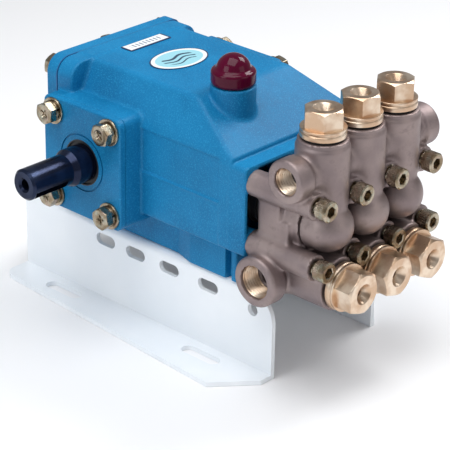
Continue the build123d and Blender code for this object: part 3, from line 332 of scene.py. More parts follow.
# %% One finish for each of the record's slots
finishes = {
    "blue_paint": blue_enamel(),
    "manifold_bronze": blasted_bronze(),
    "plug_bronze": turned_bronze(),
    "zinc_yellow": yellow_zinc(),
    "shaft_steel": black_steel(),
    "bearing_steel": ground_steel("bearing_steel", (0.62, 0.63, 0.65), 0.22),
    "valve_steel": ground_steel("valve_steel", (0.66, 0.65, 0.63), 0.25),
    "rod_aluminium": ground_steel("rod_aluminium", (0.70, 0.71, 0.73), 0.42),
    "gasket": moulded("painted_gasket", (0.010, 0.110, 0.290), 0.5, 0.8, 0.1),
    "seal_rubber": moulded("seal_rubber", (0.012, 0.012, 0.014), 0.5, 0.7, 0.05),
    "retainer_black": moulded("retainer_black", (0.02, 0.02, 0.022), 0.38, 1.0, 0.05),
    "red_cap": moulded("red_cap", (0.080, 0.0008, 0.018), 0.12, 3.0, 0.03, Specular_IOR_Level=0.2),
    "ceramic": moulded("ceramic", (0.84, 0.82, 0.76), 0.12, 1.5, 0.01, Coat_Weight=0.4),
    "base_sheet": powder_coat(),
    "sight_glass": sight_window(),
    "label_white": tick_label(),
    "label_badge": oval_badge(),
}
slot_of = {part["node"]: part["material_slot"] for part in frame["record"]["subparts"]}
for name, thing in frame["nodes"].items():
    thing.data.materials.clear()
    thing.data.materials.append(finishes[slot_of[name]])
print(len(finishes), "finishes on", len(frame["nodes"]), "nodes")

# %% [markdown]
# ## Putting a surface into a mesh
# Most pieces below are grids of points: rows along one parameter, columns along another. One
# helper joins neighbours into faces, closes the ends, and hands the piece to the frame.

# %% From arrays to a piece


def merge_arrays(parts):
    """Several (points, quads) pairs as one."""
    points, quads, count = [], [], 0
    for p, q in parts:
        points.append(p)
        quads.append(q + count)
        count += len(p)
    return np.vstack(points), np.vstack(quads)


def grid_quads(rows, columns, wrap=True):
    """Faces between neighbouring points of a rows x columns grid that may close round."""
    spans = columns if wrap else columns - 1
    r, c = np.meshgrid(np.arange(rows - 1), np.arange(spans), indexing="ij")
    nxt = (c + 1) % columns
    quads = [r * columns + c, r * columns + nxt, (r + 1) * columns + nxt, (r + 1) * columns + c]
    return np.stack([q.ravel() for q in quads], 1)


def piece(name, points, quads, slot, node=None, body=HOUSING, sharp=34, doubles=1e-6):
    """A mesh object from points in millimetres, welded, outward, smooth but for sharp edges."""
    mesh = bpy.data.meshes.new(name)
    mesh.from_pydata((points * MM).tolist(), [], quads.tolist())
    work = bmesh.new()
    work.from_mesh(mesh)
    bmesh.ops.remove_doubles(work, verts=work.verts, dist=doubles)
    bmesh.ops.dissolve_degenerate(work, edges=work.edges, dist=1e-7)
    bmesh.ops.recalc_face_normals(work, faces=work.faces)
    work.to_mesh(mesh)
    work.free()
    mesh.polygons.foreach_set("use_smooth", np.ones(len(mesh.polygons), bool))
    mesh.set_sharp_from_angle(angle=radians(sharp))
    mesh.materials.append(finishes[slot])
    made = bpy.data.objects.new(name, mesh)
    bpy.context.scene.collection.objects.link(made)
    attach(made, body)
    if node:
        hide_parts(node)
    print(name, len(mesh.polygons), "faces")
    return made


# %% [markdown]
# ## Castings as distance fields
# A casting has no sharp inner corners: bosses run into walls over a small radius. A distance
# field says how far each point of space is from the metal. Fields are joined and cut with a
# rounded corner, so every junction gets its fillet. The surface is then where the field is zero.

# %% Fields and how they join


def both(a, b, r=0.0):
    """Inside a and b, their shared edge rounded to radius r."""
    if r == 0:
        return np.maximum(a, b)
    return np.minimum(-r, np.maximum(a, b)) + np.hypot(np.maximum(r + a, 0), np.maximum(r + b, 0))


def either(a, b, r=0.0):
    """Inside a or b, their shared corner filled to radius r."""
    return -both(-a, -b, r)


def without(a, b, r=0.0):
    """Inside a but not b."""
    return both(a, -b, r)


def slab(v, low, high):
    """Between two parallel planes."""
    return np.maximum(low - v, v - high)


def brick(p, low, high, r=0.0):
    """A box with edges rounded to r."""
    x, y, z = (slab(v, lo, hi) for v, lo, hi in zip(p, low, high))
    return both(both(x, y, r), z, r)


def bar(p, axis, centre, radius, low, high, r=0.0):
    """A round bar along an axis (0, 1 or 2) with its end edges rounded to r."""
    u, v = [p[i] for i in range(3) if i != axis]
    return both(np.hypot(u - centre[0], v - centre[1]) - radius, slab(p[axis], low, high), r)


# %% [markdown]
# The zero surface is drawn by surface nets: every cell of a grid that the surface crosses gets
# one point, at the mean of its crossings, and every grid edge that is crossed gets one quad. A
# few Newton steps then pull each point exactly onto the field's zero.

# %% The surface of a field


def surface_of(field, low, high, cell):
    """Points and quads where field(x, y, z) is zero, inside a box, on a grid of the given cell."""
    ticks = [np.arange(lo - 2 * cell, hi + 3 * cell, cell) for lo, hi in zip(low, high)]
    value = field(*np.meshgrid(*ticks, indexing="ij", sparse=True))
    value = np.broadcast_to(value, [len(t) for t in ticks])
    inside = value < 0
    total = np.zeros([n - 1 for n in value.shape] + [3])
    hits = np.zeros([n - 1 for n in value.shape])
    for axis in range(3):
        first = [slice(None)] * 3
        second = [slice(None)] * 3
        first[axis], second[axis] = slice(None, -1), slice(1, None)
        a, b = value[tuple(first)], value[tuple(second)]
        crossed = inside[tuple(first)] != inside[tuple(second)]
        share = np.where(crossed, a / np.where(crossed, a - b, 1), 0)
        others = [i for i in range(3) if i != axis]
        for i in (0, 1):
            for j in (0, 1):
                cut = [slice(None)] * 3
                cut[others[0]] = slice(i, total.shape[others[0]] + i)
                cut[others[1]] = slice(j, total.shape[others[1]] + j)
                here, part = crossed[tuple(cut)], share[tuple(cut)]
                offset = [0, 0, 0]
                offset[others[0]], offset[others[1]] = i, j
                total[..., axis] += np.where(here, part, 0)
                for other in others:
                    total[..., other] += np.where(here, offset[other], 0)
                hits += here
    active = hits > 0
    number = np.full(active.shape, -1)
    number[active] = np.arange(active.sum())
    base = np.stack(np.nonzero(active), 1)
    points = base + total[active] / hits[active][:, None]
    points = points * cell + [t[0] for t in ticks]
    quads = []
    for axis in range(3):
        first = [slice(None)] * 3
        second = [slice(None)] * 3
        first[axis], second[axis] = slice(None, -1), slice(1, None)
        change = inside[tuple(first)].astype(int) - inside[tuple(second)].astype(int)
        u, v = (axis + 1) % 3, (axis + 2) % 3
        where = np.stack(np.nonzero(change), 1)
        sign = change[tuple(where.T)]
        keep = (where[:, u] > 0) & (where[:, v] > 0)
        where, sign = where[keep], sign[keep]
        corners = []
        for du, dv in ((0, 0), (-1, 0), (-1, -1), (0, -1)):
            cellat = where.copy()
            cellat[:, u] += du
            cellat[:, v] += dv
            corners.append(number[tuple(cellat.T)])
        quad = np.stack(corners, 1)
        quad[sign < 0] = quad[sign < 0][:, ::-1]
        quads.append(quad)
    for _ in range(4):
        points = pulled(field, points, cell)
    return points, np.vstack(quads)


def pulled(field, points, cell):
    """One Newton step towards the zero of a field, no longer than half a cell."""
    step = 0.02
    at = field(*points.T)
    slope = np.stack([(field(*(points + step * np.eye(3)[i]).T) - at) / step for i in range(3)], 1)
    move = -at[:, None] * slope / np.maximum((slope**2).sum(1), 0.2)[:, None]
    length = np.linalg.norm(move, axis=1, keepdims=True)
    return points + move * np.minimum(1, 0.5 * cell / np.maximum(length, 1e-9))


# %% [markdown]
# ## The shared places
# Both castings are built round the same few axes: the crank, the three cylinders, the eight long
# screws, the galleries. They come from the CAD nodes' boxes, in millimetres.

# %% Axes and stations, from the frame


def span(node, axis):
    """The low and high end of a CAD node along an axis, in millimetres."""
    low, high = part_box(node)
    return low[axis] / MM, high[axis] / MM


def mid(node, axis):
    return sum(span(node, axis)) / 2


def inset(node, axis, margin):
    """A node's two ends along an axis, each moved inwards by a margin."""
    low, high = span(node, axis)
    return [low + margin, high - margin]


shaft_y, shaft_z = mid("bearing_inner_races", 1), mid("bearing_inner_races", 2)
bays = [mid(f"ceramic_plunger_{i}", 0) for i in (1, 2, 3)]
pitch = bays[1] - bays[0]
screw_xs = [pitch * k for k in (-1.5, -0.5, 0.5, 1.5)]
SCREW_HEAD_R, SCREW_HEAD_TALL = 6.5, 8.0
screw_zs = inset("manifold_bolts", 2, SCREW_HEAD_R)
case_front, case_rear = span("crankcase", 1)
port_x = span("manifold_head", 0)[1]
sleeve_front = span("manifold_washers", 1)[1]
discharge_y = mid("discharge_valve_1", 1)
inlet_z = mid("inlet_valve_1", 2)
COVER_THICK = 4.2
boss_face_x = -span("bearing_cover_left", 0)[0] - COVER_THICK
print("crank axis", round(shaft_y, 2), round(shaft_z, 2), "screws", screw_xs, screw_zs)

# %% [markdown]
# ## The crankcase
# A hollow box with sloping shoulders, a long slope in front, a bearing boss on each side, a
# flange behind, and a pocket in front that the valve block's sleeves bolt into. The planes are
# the CAD model's; the field adds the moulded radii.

# %% Crankcase field
SIDE_X, TOP_X, FAR_X, TOP_Z, SHOULDER_Z, SKIRT_Z = 57.0, 44.5, 36.0, 164.6, 139.5, 79.5
FOOT_X, BASE_Z = 44.5, 55.0
FLANGE_X, FLANGE_THICK, FLANGE_EAR = 62.2, 13.4, 11.0
FLANGE_CORNER_Z = 129.1  # where the flange starts to follow the facet
BOSS_HALF_Y, BOSS_HALF_Z, BOSS_CORNER = 34.0, 37.0, 5.0
FILLER, NECK_R, NECK_TOP_Z = (-23.0, shaft_y - 79), 14.0, 169.6
SLOPE_FOOT_Y = shaft_y - 110.0
SLOPE_TOP_Y = shaft_y - 70.0


def leaning(u, v, u0, v0, u1, v1):
    """Distance from the line through two points of the (u, v) plane, positive on its left."""
    du, dv = u1 - u0, v1 - v0
    size = np.hypot(du, dv)
    return ((v - v0) * du - (u - u0) * dv) / size


def crankcase_field(x, y, z):
    p = (x, y, z)
    ax = np.abs(x)
    near = leaning(-x, z, SIDE_X, SHOULDER_Z, TOP_X, TOP_Z)
    facet = -np.where(x < 0, near, leaning(x, z, SIDE_X, SHOULDER_Z, FAR_X, TOP_Z))
    slope = leaning(y, z, SLOPE_FOOT_Y, SHOULDER_Z, SLOPE_TOP_Y, TOP_Z)
    shell = both(ax - SIDE_X, facet, 2.5)
    shell = both(shell, z - TOP_Z, 2.5)
    shell = both(shell, slope, 2.0)
    shell = both(shell, SKIRT_Z - z, 2.5)
    shell = both(shell, slab(y, SLOPE_FOOT_Y, case_rear), 0.8)
    band_top = SHOULDER_Z - 2.2
    band = both(both(ax - SIDE_X, z - band_top, 3.0), SKIRT_Z - z, 2.5)
    band = both(band, slab(y, case_front, SLOPE_FOOT_Y + 3), 1.2)
    case = either(shell, band, 0.5)
    # recessed side panels with a ledge at shaft height
    panel = slab(y, shaft_y - 100, shaft_y - 20)
    upper = both(panel, slab(z, shaft_z + 0.4, band_top), 0.8)
    upper = both(upper, SIDE_X - 1.2 - ax)
    lower = both(panel, slab(z, SKIRT_Z - 5, shaft_z - 1.2), 0.8)
    lower = both(lower, SIDE_X - 0.5 - ax)
    case = without(without(case, upper, 0.5), lower, 0.4)
    # foot with its pad, groove and post
    foot_y = slab(y, shaft_y - 108, case_rear)
    inset = np.interp(y - shaft_y, [-69, -55], [4.4, 0.0])
    inset = np.where((y - shaft_y < -99) & (y - shaft_y > -104), 0.0, inset)
    foot = both(both((ax - FOOT_X - inset) * 0.9, foot_y, 1.0), slab(z, BASE_Z, SKIRT_Z + 4))
    case = either(case, foot, 3.0)
    # rear flange: a round left ear, and a softer right one that follows the facet
    flange = both(-FLANGE_X - x, z - TOP_Z, FLANGE_EAR)
    right = -leaning(x, z, FLANGE_X, FLANGE_CORNER_Z, TOP_X, TOP_Z)
    flange = both(both(flange, right, 6.0), x - FLANGE_X, 2.0)
    flange = both(flange, 74.0 - z, 2.0)
    flange = both(flange, slab(y, case_rear - FLANGE_THICK, case_rear), 1.0)
    case = either(case, flange, 2.0)
    # bearing bosses
    boss = both(np.abs(y - shaft_y) - BOSS_HALF_Y, np.abs(z - shaft_z) - BOSS_HALF_Z, BOSS_CORNER)
    boss = both(boss, ax - boss_face_x, 0.4)
    case = either(case, boss, 1.4)
    # filler boss
    neck = bar(p, 2, FILLER, NECK_R, SHOULDER_Z - 8, NECK_TOP_Z, 0.8)
    case = either(case, neck, 2.0)
    # hollow
    inner_rear = case_rear - FLANGE_THICK
    cavity = brick(p, (-39.5, shaft_y - 46, 60), (39.5, inner_rear, 84.5))
    cavity = either(cavity, brick(p, (-47, shaft_y - 46, 84.5), (47, inner_rear, 134.5)))
    cavity = either(cavity, brick(p, (-39.5, shaft_y - 91, 60), (39.5, shaft_y - 40, 87)))
    roof = both(slab(z, 131, 159.6), slope + 6.5)
    roof = both(both(roof, slab(y, shaft_y - 91, inner_rear)), slab(x, -34.5, 34.5))
    cavity = either(cavity, roof)
    cavity = either(cavity, brick(p, (-38, case_rear - 16, 84), (38, case_rear + 1, 148)))
    case = without(case, cavity, 1.0)
    case = without(case, both(np.hypot(y - shaft_y, z - shaft_z) - 26.0, 53.7 - ax), 0.3)
    case = without(case, both(np.hypot(y - shaft_y, z - shaft_z) - 19.5, 40.0 - ax), 0.3)
    for bay in bays:
        case = without(case, bar(p, 1, (bay, shaft_z), 14.8, shaft_y - 95, shaft_y - 40), 0.5)
        case = without(case, bar(p, 1, (bay, shaft_z), 6.8, shaft_y - 110, shaft_y - 90), 0.3)
    # front pocket and the bosses in it
    pocket = both(ax - 54.5, slab(z, 82, 134.5), 10.0)
    pocket = both(pocket, slab(y, case_front - 5, shaft_y - 104), 1.0)
    case = without(case, pocket, 0.8)
    for sx in screw_xs:
        for sz in screw_zs:
            case = either(case, bar(p, 1, (sx, sz), 7.5, case_front, shaft_y - 100, 0.3), 1.5)
    return without(case, bar(p, 2, FILLER, 9.0, SHOULDER_Z, NECK_TOP_Z + 5.4), 0.5)


CASE_CELL = 1.15
box_low = [span("crankcase", i)[0] for i in range(3)]
box_high = [span("crankcase", i)[1] for i in range(3)]
points, quads = surface_of(crankcase_field, box_low, box_high, CASE_CELL)
piece("crankcase_casting", points, quads, "blue_paint", "crankcase", sharp=50)

# %% [markdown]
# ## The valve block
# One casting again. Round sleeves for the screws, a dome over each pumping chamber, an upright
# boss for each discharge valve, a level one for each inlet valve, and two galleries that run
# across and end in collars. Everything flows together over about three millimetres.

# %% Valve block field
DOME_R, BOSS_R, INLET_R = 15.7, 16.2, 16.6
gallery_y, gallery_z = shaft_y - 157.2, 142.5
intake_y, intake_z = shaft_y - 135.4, 70.6
block_rear = shaft_y - 125.0
block_front = shaft_y - 155.5
boss_top = span("discharge_plugs", 2)[0] + 12
inlet_front = span("inlet_plugs", 1)[1] - 12


def block_field(x, y, z):
    p = (x, y, z)
    ax = np.abs(x)
    soft = 3.2
    body = brick(p, (-45, block_front, 82), (45, block_rear, 132), 3.0)
    lower_side = brick(p, (-50, block_rear - 24, 90), (50, block_rear, 108), 1.2)
    upper_side = brick(p, (-50, block_rear - 17, 104), (50, block_rear, 127), 1.2)
    body = either(body, either(lower_side, upper_side), 0.6)
    bridge = brick(p, (-45, discharge_y, 120), (45, block_rear - 12, 141), 3.0)
    body = either(body, bridge, soft)
    body = either(body, bar(p, 0, (intake_y, intake_z), 13.3, -port_x, port_x), soft)
    body = either(body, bar(p, 0, (gallery_y, gallery_z), 11.7, -port_x, port_x), soft)
    for side in (-1, 1):
        ends = sorted((side * 52.5, side * port_x))
        body = either(body, bar(p, 0, (intake_y, intake_z), 15.5, *ends, 0.5), 4.5)
        body = either(body, bar(p, 0, (gallery_y, gallery_z), 13.0, *ends, 0.5), 3.5)
    for bay in bays:
        body = either(body, bar(p, 1, (bay, inlet_z), INLET_R, inlet_front, intake_y, 0.6), soft)
        ball_y = shaft_y - 180 + DOME_R
        ahead = np.minimum(y - ball_y, 0)
        dome = np.sqrt((x - bay) ** 2 + ahead**2 + (z - shaft_z + 1.5) ** 2) - DOME_R
        body = either(body, both(dome, y - block_rear + 15), 2.4)
        upright = bar(p, 2, (bay, discharge_y), BOSS_R, 119, boss_top - 2.2, 2.5)
        rim = bar(p, 2, (bay, discharge_y), BOSS_R - 1.0, 119, boss_top, 0.5)
        body = either(body, either(upright, rim, 0.4), 2.4)
    for sx in screw_xs:
        for sz in screw_zs:
            body = either(body, bar(p, 1, (sx, sz), 8.0, sleeve_front, case_front, 0.4), 2.6)
    for sx in screw_xs:
        for sz in screw_zs:
            body = without(body, bar(p, 1, (sx, sz), 6.8, sleeve_front - 12, sleeve_front), 0.4)
            body = without(body, bar(p, 1, (sx, sz), 4.4, sleeve_front - 1, case_front + 1), 0.3)
    # bores: pumping chambers, valve chambers, galleries and ports
    for bay in bays:
        stuffing = bar(p, 1, (bay, shaft_z), 12.6, block_rear - 13.5, block_rear + 1)
        body = without(body, stuffing, 0.4)
        body = without(body, bar(p, 1, (bay, shaft_z), 9.3, shaft_y - 168, block_rear + 1), 0.4)
        body = without(body, bar(p, 2, (bay, discharge_y), 9.6, 124, boss_top + 1), 0.4)
        body = without(body, bar(p, 2, (bay, discharge_y), 11.1, boss_top - 13, boss_top + 1), 0.4)
        body = without(body, bar(p, 1, (bay, inlet_z), 9.6, inlet_front - 1, shaft_y - 144), 0.4)
        tapped = bar(p, 1, (bay, inlet_z), 11.1, inlet_front - 1, inlet_front + 13)
        body = without(body, tapped, 0.4)
    body = without(body, bar(p, 0, (intake_y, intake_z), 8.5, -port_x - 1, port_x + 1), 0.4)
    body = without(body, bar(p, 0, (gallery_y, gallery_z), 6.2, -port_x - 1, port_x + 1), 0.4)
    port = both(np.hypot(y - intake_y, z - intake_z) - 10.6, port_x - 14 - ax)
    body = without(body, port, 0.5)
    port = both(np.hypot(y - gallery_y, z - gallery_z) - 8.4, port_x - 14 - ax)
    body = without(body, port, 0.5)
    between = slab(z, screw_zs[0] + 8.5, screw_zs[1] - 8.5)
    seam = both(slab(y, block_front - 0.8, block_front + 0.8), between)
    return without(body, both(seam, 41.5 - ax), 0.3)


BLOCK_CELL = 1.0
box_low = [span("manifold_head", i)[0] for i in range(3)]
box_high = [span("manifold_head", i)[1] for i in range(3)]
points, quads = surface_of(block_field, box_low, box_high, BLOCK_CELL)
piece("valve_block_casting", points, quads, "manifold_bronze", "manifold_head", sharp=50)

# %% [markdown]
# ## Small parts made once and set out many times
# Each fastener is drawn standing on the origin along +Z. A small table of directions turns it to
# face front, rear, left, right or down, and copies go to every place where the CAD has one.

# %% Setting out copies
TOWARDS = {
    "up": ((1, 0, 0), (0, 1, 0), (0, 0, 1)),
    "down": ((1, 0, 0), (0, -1, 0), (0, 0, -1)),
    "front": ((1, 0, 0), (0, 0, 1), (0, -1, 0)),
    "rear": ((-1, 0, 0), (0, 0, 1), (0, 1, 0)),
    "left": ((0, -1, 0), (0, 0, 1), (-1, 0, 0)),
    "right": ((0, 1, 0), (0, 0, 1), (1, 0, 0)),
}


def stand(part, toward, places, spins=None):
    """Copies of a part that stood along +Z, turned to face a direction, one at each place."""
    points, quads = part
    basis = np.array(TOWARDS[toward], float)
    copies = []
    for index, place in enumerate(places):
        angle = 0.0 if spins is None else spins[index % len(spins)]
        turn = np.array([[cos(angle), sin(angle), 0], [-sin(angle), cos(angle), 0], [0, 0, 1]])
        copies.append((points @ turn @ basis + place, quads))
    return merge_arrays(copies)


def lathe(profile, columns=96, reach=None):
    """A turned part from (radius, height) rows; reach(angle, radius) may bend rows off round."""
    rows = np.array(profile, float)
    angle = np.arange(columns) * tau / columns
    radius = rows[:, :1] * np.ones(columns)
    if reach:
        radius = reach(angle[None, :], radius)
    height = rows[:, 1:2] * np.ones(columns)
    points = np.stack([radius * np.cos(angle), radius * np.sin(angle), height], -1)
    return points.reshape(-1, 3), grid_quads(len(rows), columns)


def rounded(corners, r=0.3, steps=3):
    """A profile with each inner corner cut to a small arc-like run of points."""
    out = [corners[0]]
    for before, here, after in zip(corners, corners[1:], corners[2:]):
        a, b, c = (np.array(v, float) for v in (before, here, after))
        back, on = (a - b), (c - b)
        cut = min(r, np.linalg.norm(back) * 0.45, np.linalg.norm(on) * 0.45)
        start = b + back / max(np.linalg.norm(back), 1e-9) * cut
        end = b + on / max(np.linalg.norm(on), 1e-9) * cut
        for t in np.linspace(0, 1, steps + 1):
            out.append(tuple((1 - t) ** 2 * start + 2 * t * (1 - t) * b + t**2 * end))
    return out + [corners[-1]]


# %% [markdown]
# ## Hexagon heads with a cross recess
# Cold-formed bolts: the forming die leaves the rim chamfered, which draws a curve on every flat,
# and a punch leaves a tapered cross. The small radii catch the light, so they're in the shape.

# %% A hexagon bolt


def hexagon(x, y, flats, r=0.25):
    """Distance outside a hexagon of a given size across its flats."""
    sides = [np.abs(x * cos(a) + y * sin(a)) - flats / 2 for a in (0, pi / 3, -pi / 3)]
    return both(both(sides[0], sides[1], r), sides[2], r)


def hex_head(flats, height, cross):
    """A field for a hexagon head on z = 0, with or without a cross recess."""

    def field(x, y, z):
        rho = np.hypot(x, y)
        crown = (rho - flats * 0.475) * 0.5 + (z - height) * 0.866
        head = both(both(hexagon(x, y, flats), slab(z, 0, height), 0.2), crown, 0.15)
        if not cross:
            return head
        wide, slim = 3.3 + (z - height) * 0.5, 0.75 + (z - height) * 0.12
        arm = np.minimum(np.maximum(np.abs(x) - wide, np.abs(y) - slim),
                         np.maximum(np.abs(y) - wide, np.abs(x) - slim))
        dish = np.sqrt(x**2 + y**2 + (z - height - 9.2) ** 2) - 9.9
        return without(without(head, both(arm, height - 1.9 - z), 0.2), dish, 0.3)

    return field


def hex_bolt(flats, height, radius, length, cross=True, cell=0.42):
    """A head above z = 0 and a threaded shank below it."""
    half = flats * 0.58
    low, high = (-half, -half, 0), (half, half, height)
    head = surface_of(hex_head(flats, height, cross), low, high, cell)
    return merge_arrays([head, thread(radius, length)])


def thread(radius, length, pitch=1.25, depth=0.55, columns=20):
    """A screwed shank from z = 0 down to -length: rows follow the helix, so crests spiral."""
    rows = int(length / pitch * 4)
    turn, row = np.meshgrid(np.arange(columns) / columns, np.arange(rows + 1), indexing="xy")
    height = -row * length / rows
    phase = (height / pitch + turn) % 1
    round_r = radius - depth * np.abs(2 * phase - 1) - 0.04
    round_r = np.where((row == 0) | (row == rows), 0, round_r)
    points = np.stack([round_r * np.cos(turn * tau), round_r * np.sin(turn * tau), height], -1)
    return points.reshape(-1, 3), grid_quads(rows + 1, columns)


FLATS, HEAD_TALL, SHANK_R = 13.0, 5.3, 4.0
CORNER = 7.506  # half of a head across its corners
cover_ys = inset("bearing_cover_bolts", 1, CORNER)
cover_zs = inset("bearing_cover_bolts", 2, FLATS / 2)
bolt = hex_bolt(FLATS, HEAD_TALL, SHANK_R, 18.0)
spins = [0.2, 0.75, 0.45, 1.0]
sets = []
for toward, x in zip(("left", "right"), inset("bearing_cover_bolts", 0, HEAD_TALL)):
    sets.append(stand(bolt, toward, [(x, y, z) for y in cover_ys for z in cover_zs], spins))
piece("cover_bolts", *merge_arrays(sets), "zinc_yellow", "bearing_cover_bolts")

# %% [markdown]
# The rear cover, the base and the drain use the same bolt with a plain head.

# %% Plain hexagon bolts
plain = hex_bolt(FLATS, HEAD_TALL, SHANK_R, 17.0, cross=False)
seat_y = span("rear_cover_bolts", 1)[1] - HEAD_TALL
rear_places = [
    (-53.5, 155.5),
    (-53.5, 118.0),
    (-53.5, 84.0),
    (53.5, 84.0),
    (53.5, 118.0),
    (40.0, 155.5),
    (-8.0, 156.5),
    (0.0, 70.0),
]
rear_spins = [0.1, 0.6, 0.3, 0.9, 0.5]
set_out = stand(plain, "rear", [(x, seat_y, z) for x, z in rear_places], rear_spins)
piece("rear_bolts", *set_out, "zinc_yellow", "rear_cover_bolts")

base_seat_z = span("base_bolts", 2)[0] + HEAD_TALL
base_xs = inset("base_bolts", 0, CORNER)
base_ys = inset("base_bolts", 1, FLATS / 2)
short = hex_bolt(FLATS, HEAD_TALL, SHANK_R, 13.0, cross=False)
set_out = stand(short, "down", [(x, y, base_seat_z) for x in base_xs for y in base_ys], rear_spins)
piece("base_bolts_formed", *set_out, "zinc_yellow", "base_bolts")

drain_x, drain_z = mid("drain_plug", 0), mid("drain_plug", 2)
DRAIN_TALL = 5.0
drain = hex_bolt(14.0, DRAIN_TALL, 6.0, 5.4, cross=False)
drain_seat = span("drain_plug", 1)[1] - DRAIN_TALL
set_out = stand(drain, "rear", [(drain_x, drain_seat, drain_z)], [0.35])
piece("drain_plug_formed", *set_out, "zinc_yellow", "drain_plug")

# %% [markdown]
# ## Washers
# Under each cover bolt lies a flat washer, stamped, with one rounded edge, and a spring washer: a
# square wire bent round almost a full turn, its cut ends one step apart.

# %% Flat and split washers


def flat_washer(outer, inner, thick):
    """A ring with softened edges, from z = 0 to thick."""
    outline = [(inner, 0), (inner, thick), (outer, thick), (outer, 0), (inner, 0)]
    return lathe(rounded(outline, 0.3), 64)


def split_washer(outer, inner, thick, rise=0.35, gap=0.20, steps=56):
    """A square section swept round by 2 pi - gap while it climbs by rise, closed at both ends."""
    mid_r, half_r, half_t = (outer + inner) / 2, (outer - inner) / 2, (thick - rise) / 2
    half = [(-1, -0.8), (-0.8, -1), (0.8, -1), (1, -0.8)]
    corner = np.array(half + [(-u, -v) for u, v in half])
    t = np.concatenate([[0, 0], np.linspace(0, 1, steps), [1, 1]])
    grow = np.ones(len(t))
    grow[[0, -1]] = 0
    angle = gap / 2 + t * (tau - gap)
    radius = mid_r + half_r * corner[None, :, 0] * grow[:, None]
    height = half_t + t[:, None] * rise + half_t * corner[None, :, 1] * grow[:, None]
    round_x, round_y = np.cos(angle)[:, None], np.sin(angle)[:, None]
    points = np.stack([radius * round_x, radius * round_y, height], -1)
    return points.reshape(-1, 3), grid_quads(len(t), 8)


FLAT_THICK, SPLIT_THICK, WASHER_INNER = 1.6, 2.0, 4.3
faces_x = inset("bearing_cover_washers", 0, FLAT_THICK + SPLIT_THICK)
flat = flat_washer(8.6, WASHER_INNER, FLAT_THICK)
split = split_washer(6.9, WASHER_INNER, SPLIT_THICK)
sets = []
for toward, face, step in zip(("left", "right"), faces_x, (-FLAT_THICK, FLAT_THICK)):
    places = [(face, y, z) for y in cover_ys for z in cover_zs]
    sets.append(stand(flat, toward, places))
    places = [(face + step, y, z) for y in cover_ys for z in cover_zs]
    sets.append(stand(split, toward, places, [0.4, 2.5, 4.1]))
piece("cover_washers", *merge_arrays(sets), "zinc_yellow", "bearing_cover_washers")

split = split_washer(6.5, WASHER_INNER, SPLIT_THICK, rise=0.3)
places = [(x, sleeve_front + SPLIT_THICK, z) for x in screw_xs for z in screw_zs]
set_out = stand(split, "front", places, [1.0, 2.9, 5.0, 4.0])
piece("screw_washers", *set_out, "zinc_yellow", "manifold_washers")

# %% [markdown]
# ## Long socket screws
# The heads are turned and knurled, with a broached hexagon in the middle. The knurl is a small
# wave in the head's radius; the socket's rows follow a hexagon instead of a circle.

# %% Socket screws


def socket_screw(head_r, height, across=6.0, deep=4.4, radius=4.0, length=64.0):
    """A knurled round head with a hexagon socket above z = 0, and its shank below."""
    columns = 144
    socket = [(0, height - deep - 0.8), (across / 2, height - deep), (across / 2, height - 0.4)]
    rim = [(across / 2 + 0.5, height), (head_r - 0.8, height), (head_r, height - 0.8)]
    side = [(head_r, height - 0.8 - k * (height - 1.3) / 5) for k in range(1, 5)]
    rows = socket + rim + side + [(head_r, 0.5), (head_r - 0.4, 0), (0, 0)]
    turned = [0, 4, 5, *range(6, len(rows))]

    def reach(angle, rho):
        flat = (angle + pi / 6) % (pi / 3) - pi / 6
        hexed = rho / np.cos(flat)
        hexed[turned] = rho[turned]
        hexed[3] = np.maximum(hexed[3], rho[3])
        knurl = 0.16 * (0.5 + 0.5 * np.cos(angle * 36))
        hexed[6:10] = hexed[6:10] - knurl
        return hexed

    return merge_arrays([lathe(rows, columns, reach), thread(radius, length)])


seat = span("manifold_bolts", 1)[0] + SCREW_HEAD_TALL
places = [(x, seat, z) for x in screw_xs for z in screw_zs]
screw = socket_screw(SCREW_HEAD_R, SCREW_HEAD_TALL)
set_out = stand(screw, "front", places, [0.3, 0.8, 0.1, 0.5, 0.9])
piece("socket_screws", *set_out, "zinc_yellow", "manifold_bolts")

# %% [markdown]
# ## Valve plugs
# Each plug is bar turned on a lathe: a threaded shank, a ring with a groove, a hexagon milled
# from the bar with its rim turned off at a slant, and a conical recess with a drilled hole.

# %% Turned plugs
PLUG_R, PLUG_DEEP = 11.0, 12.0


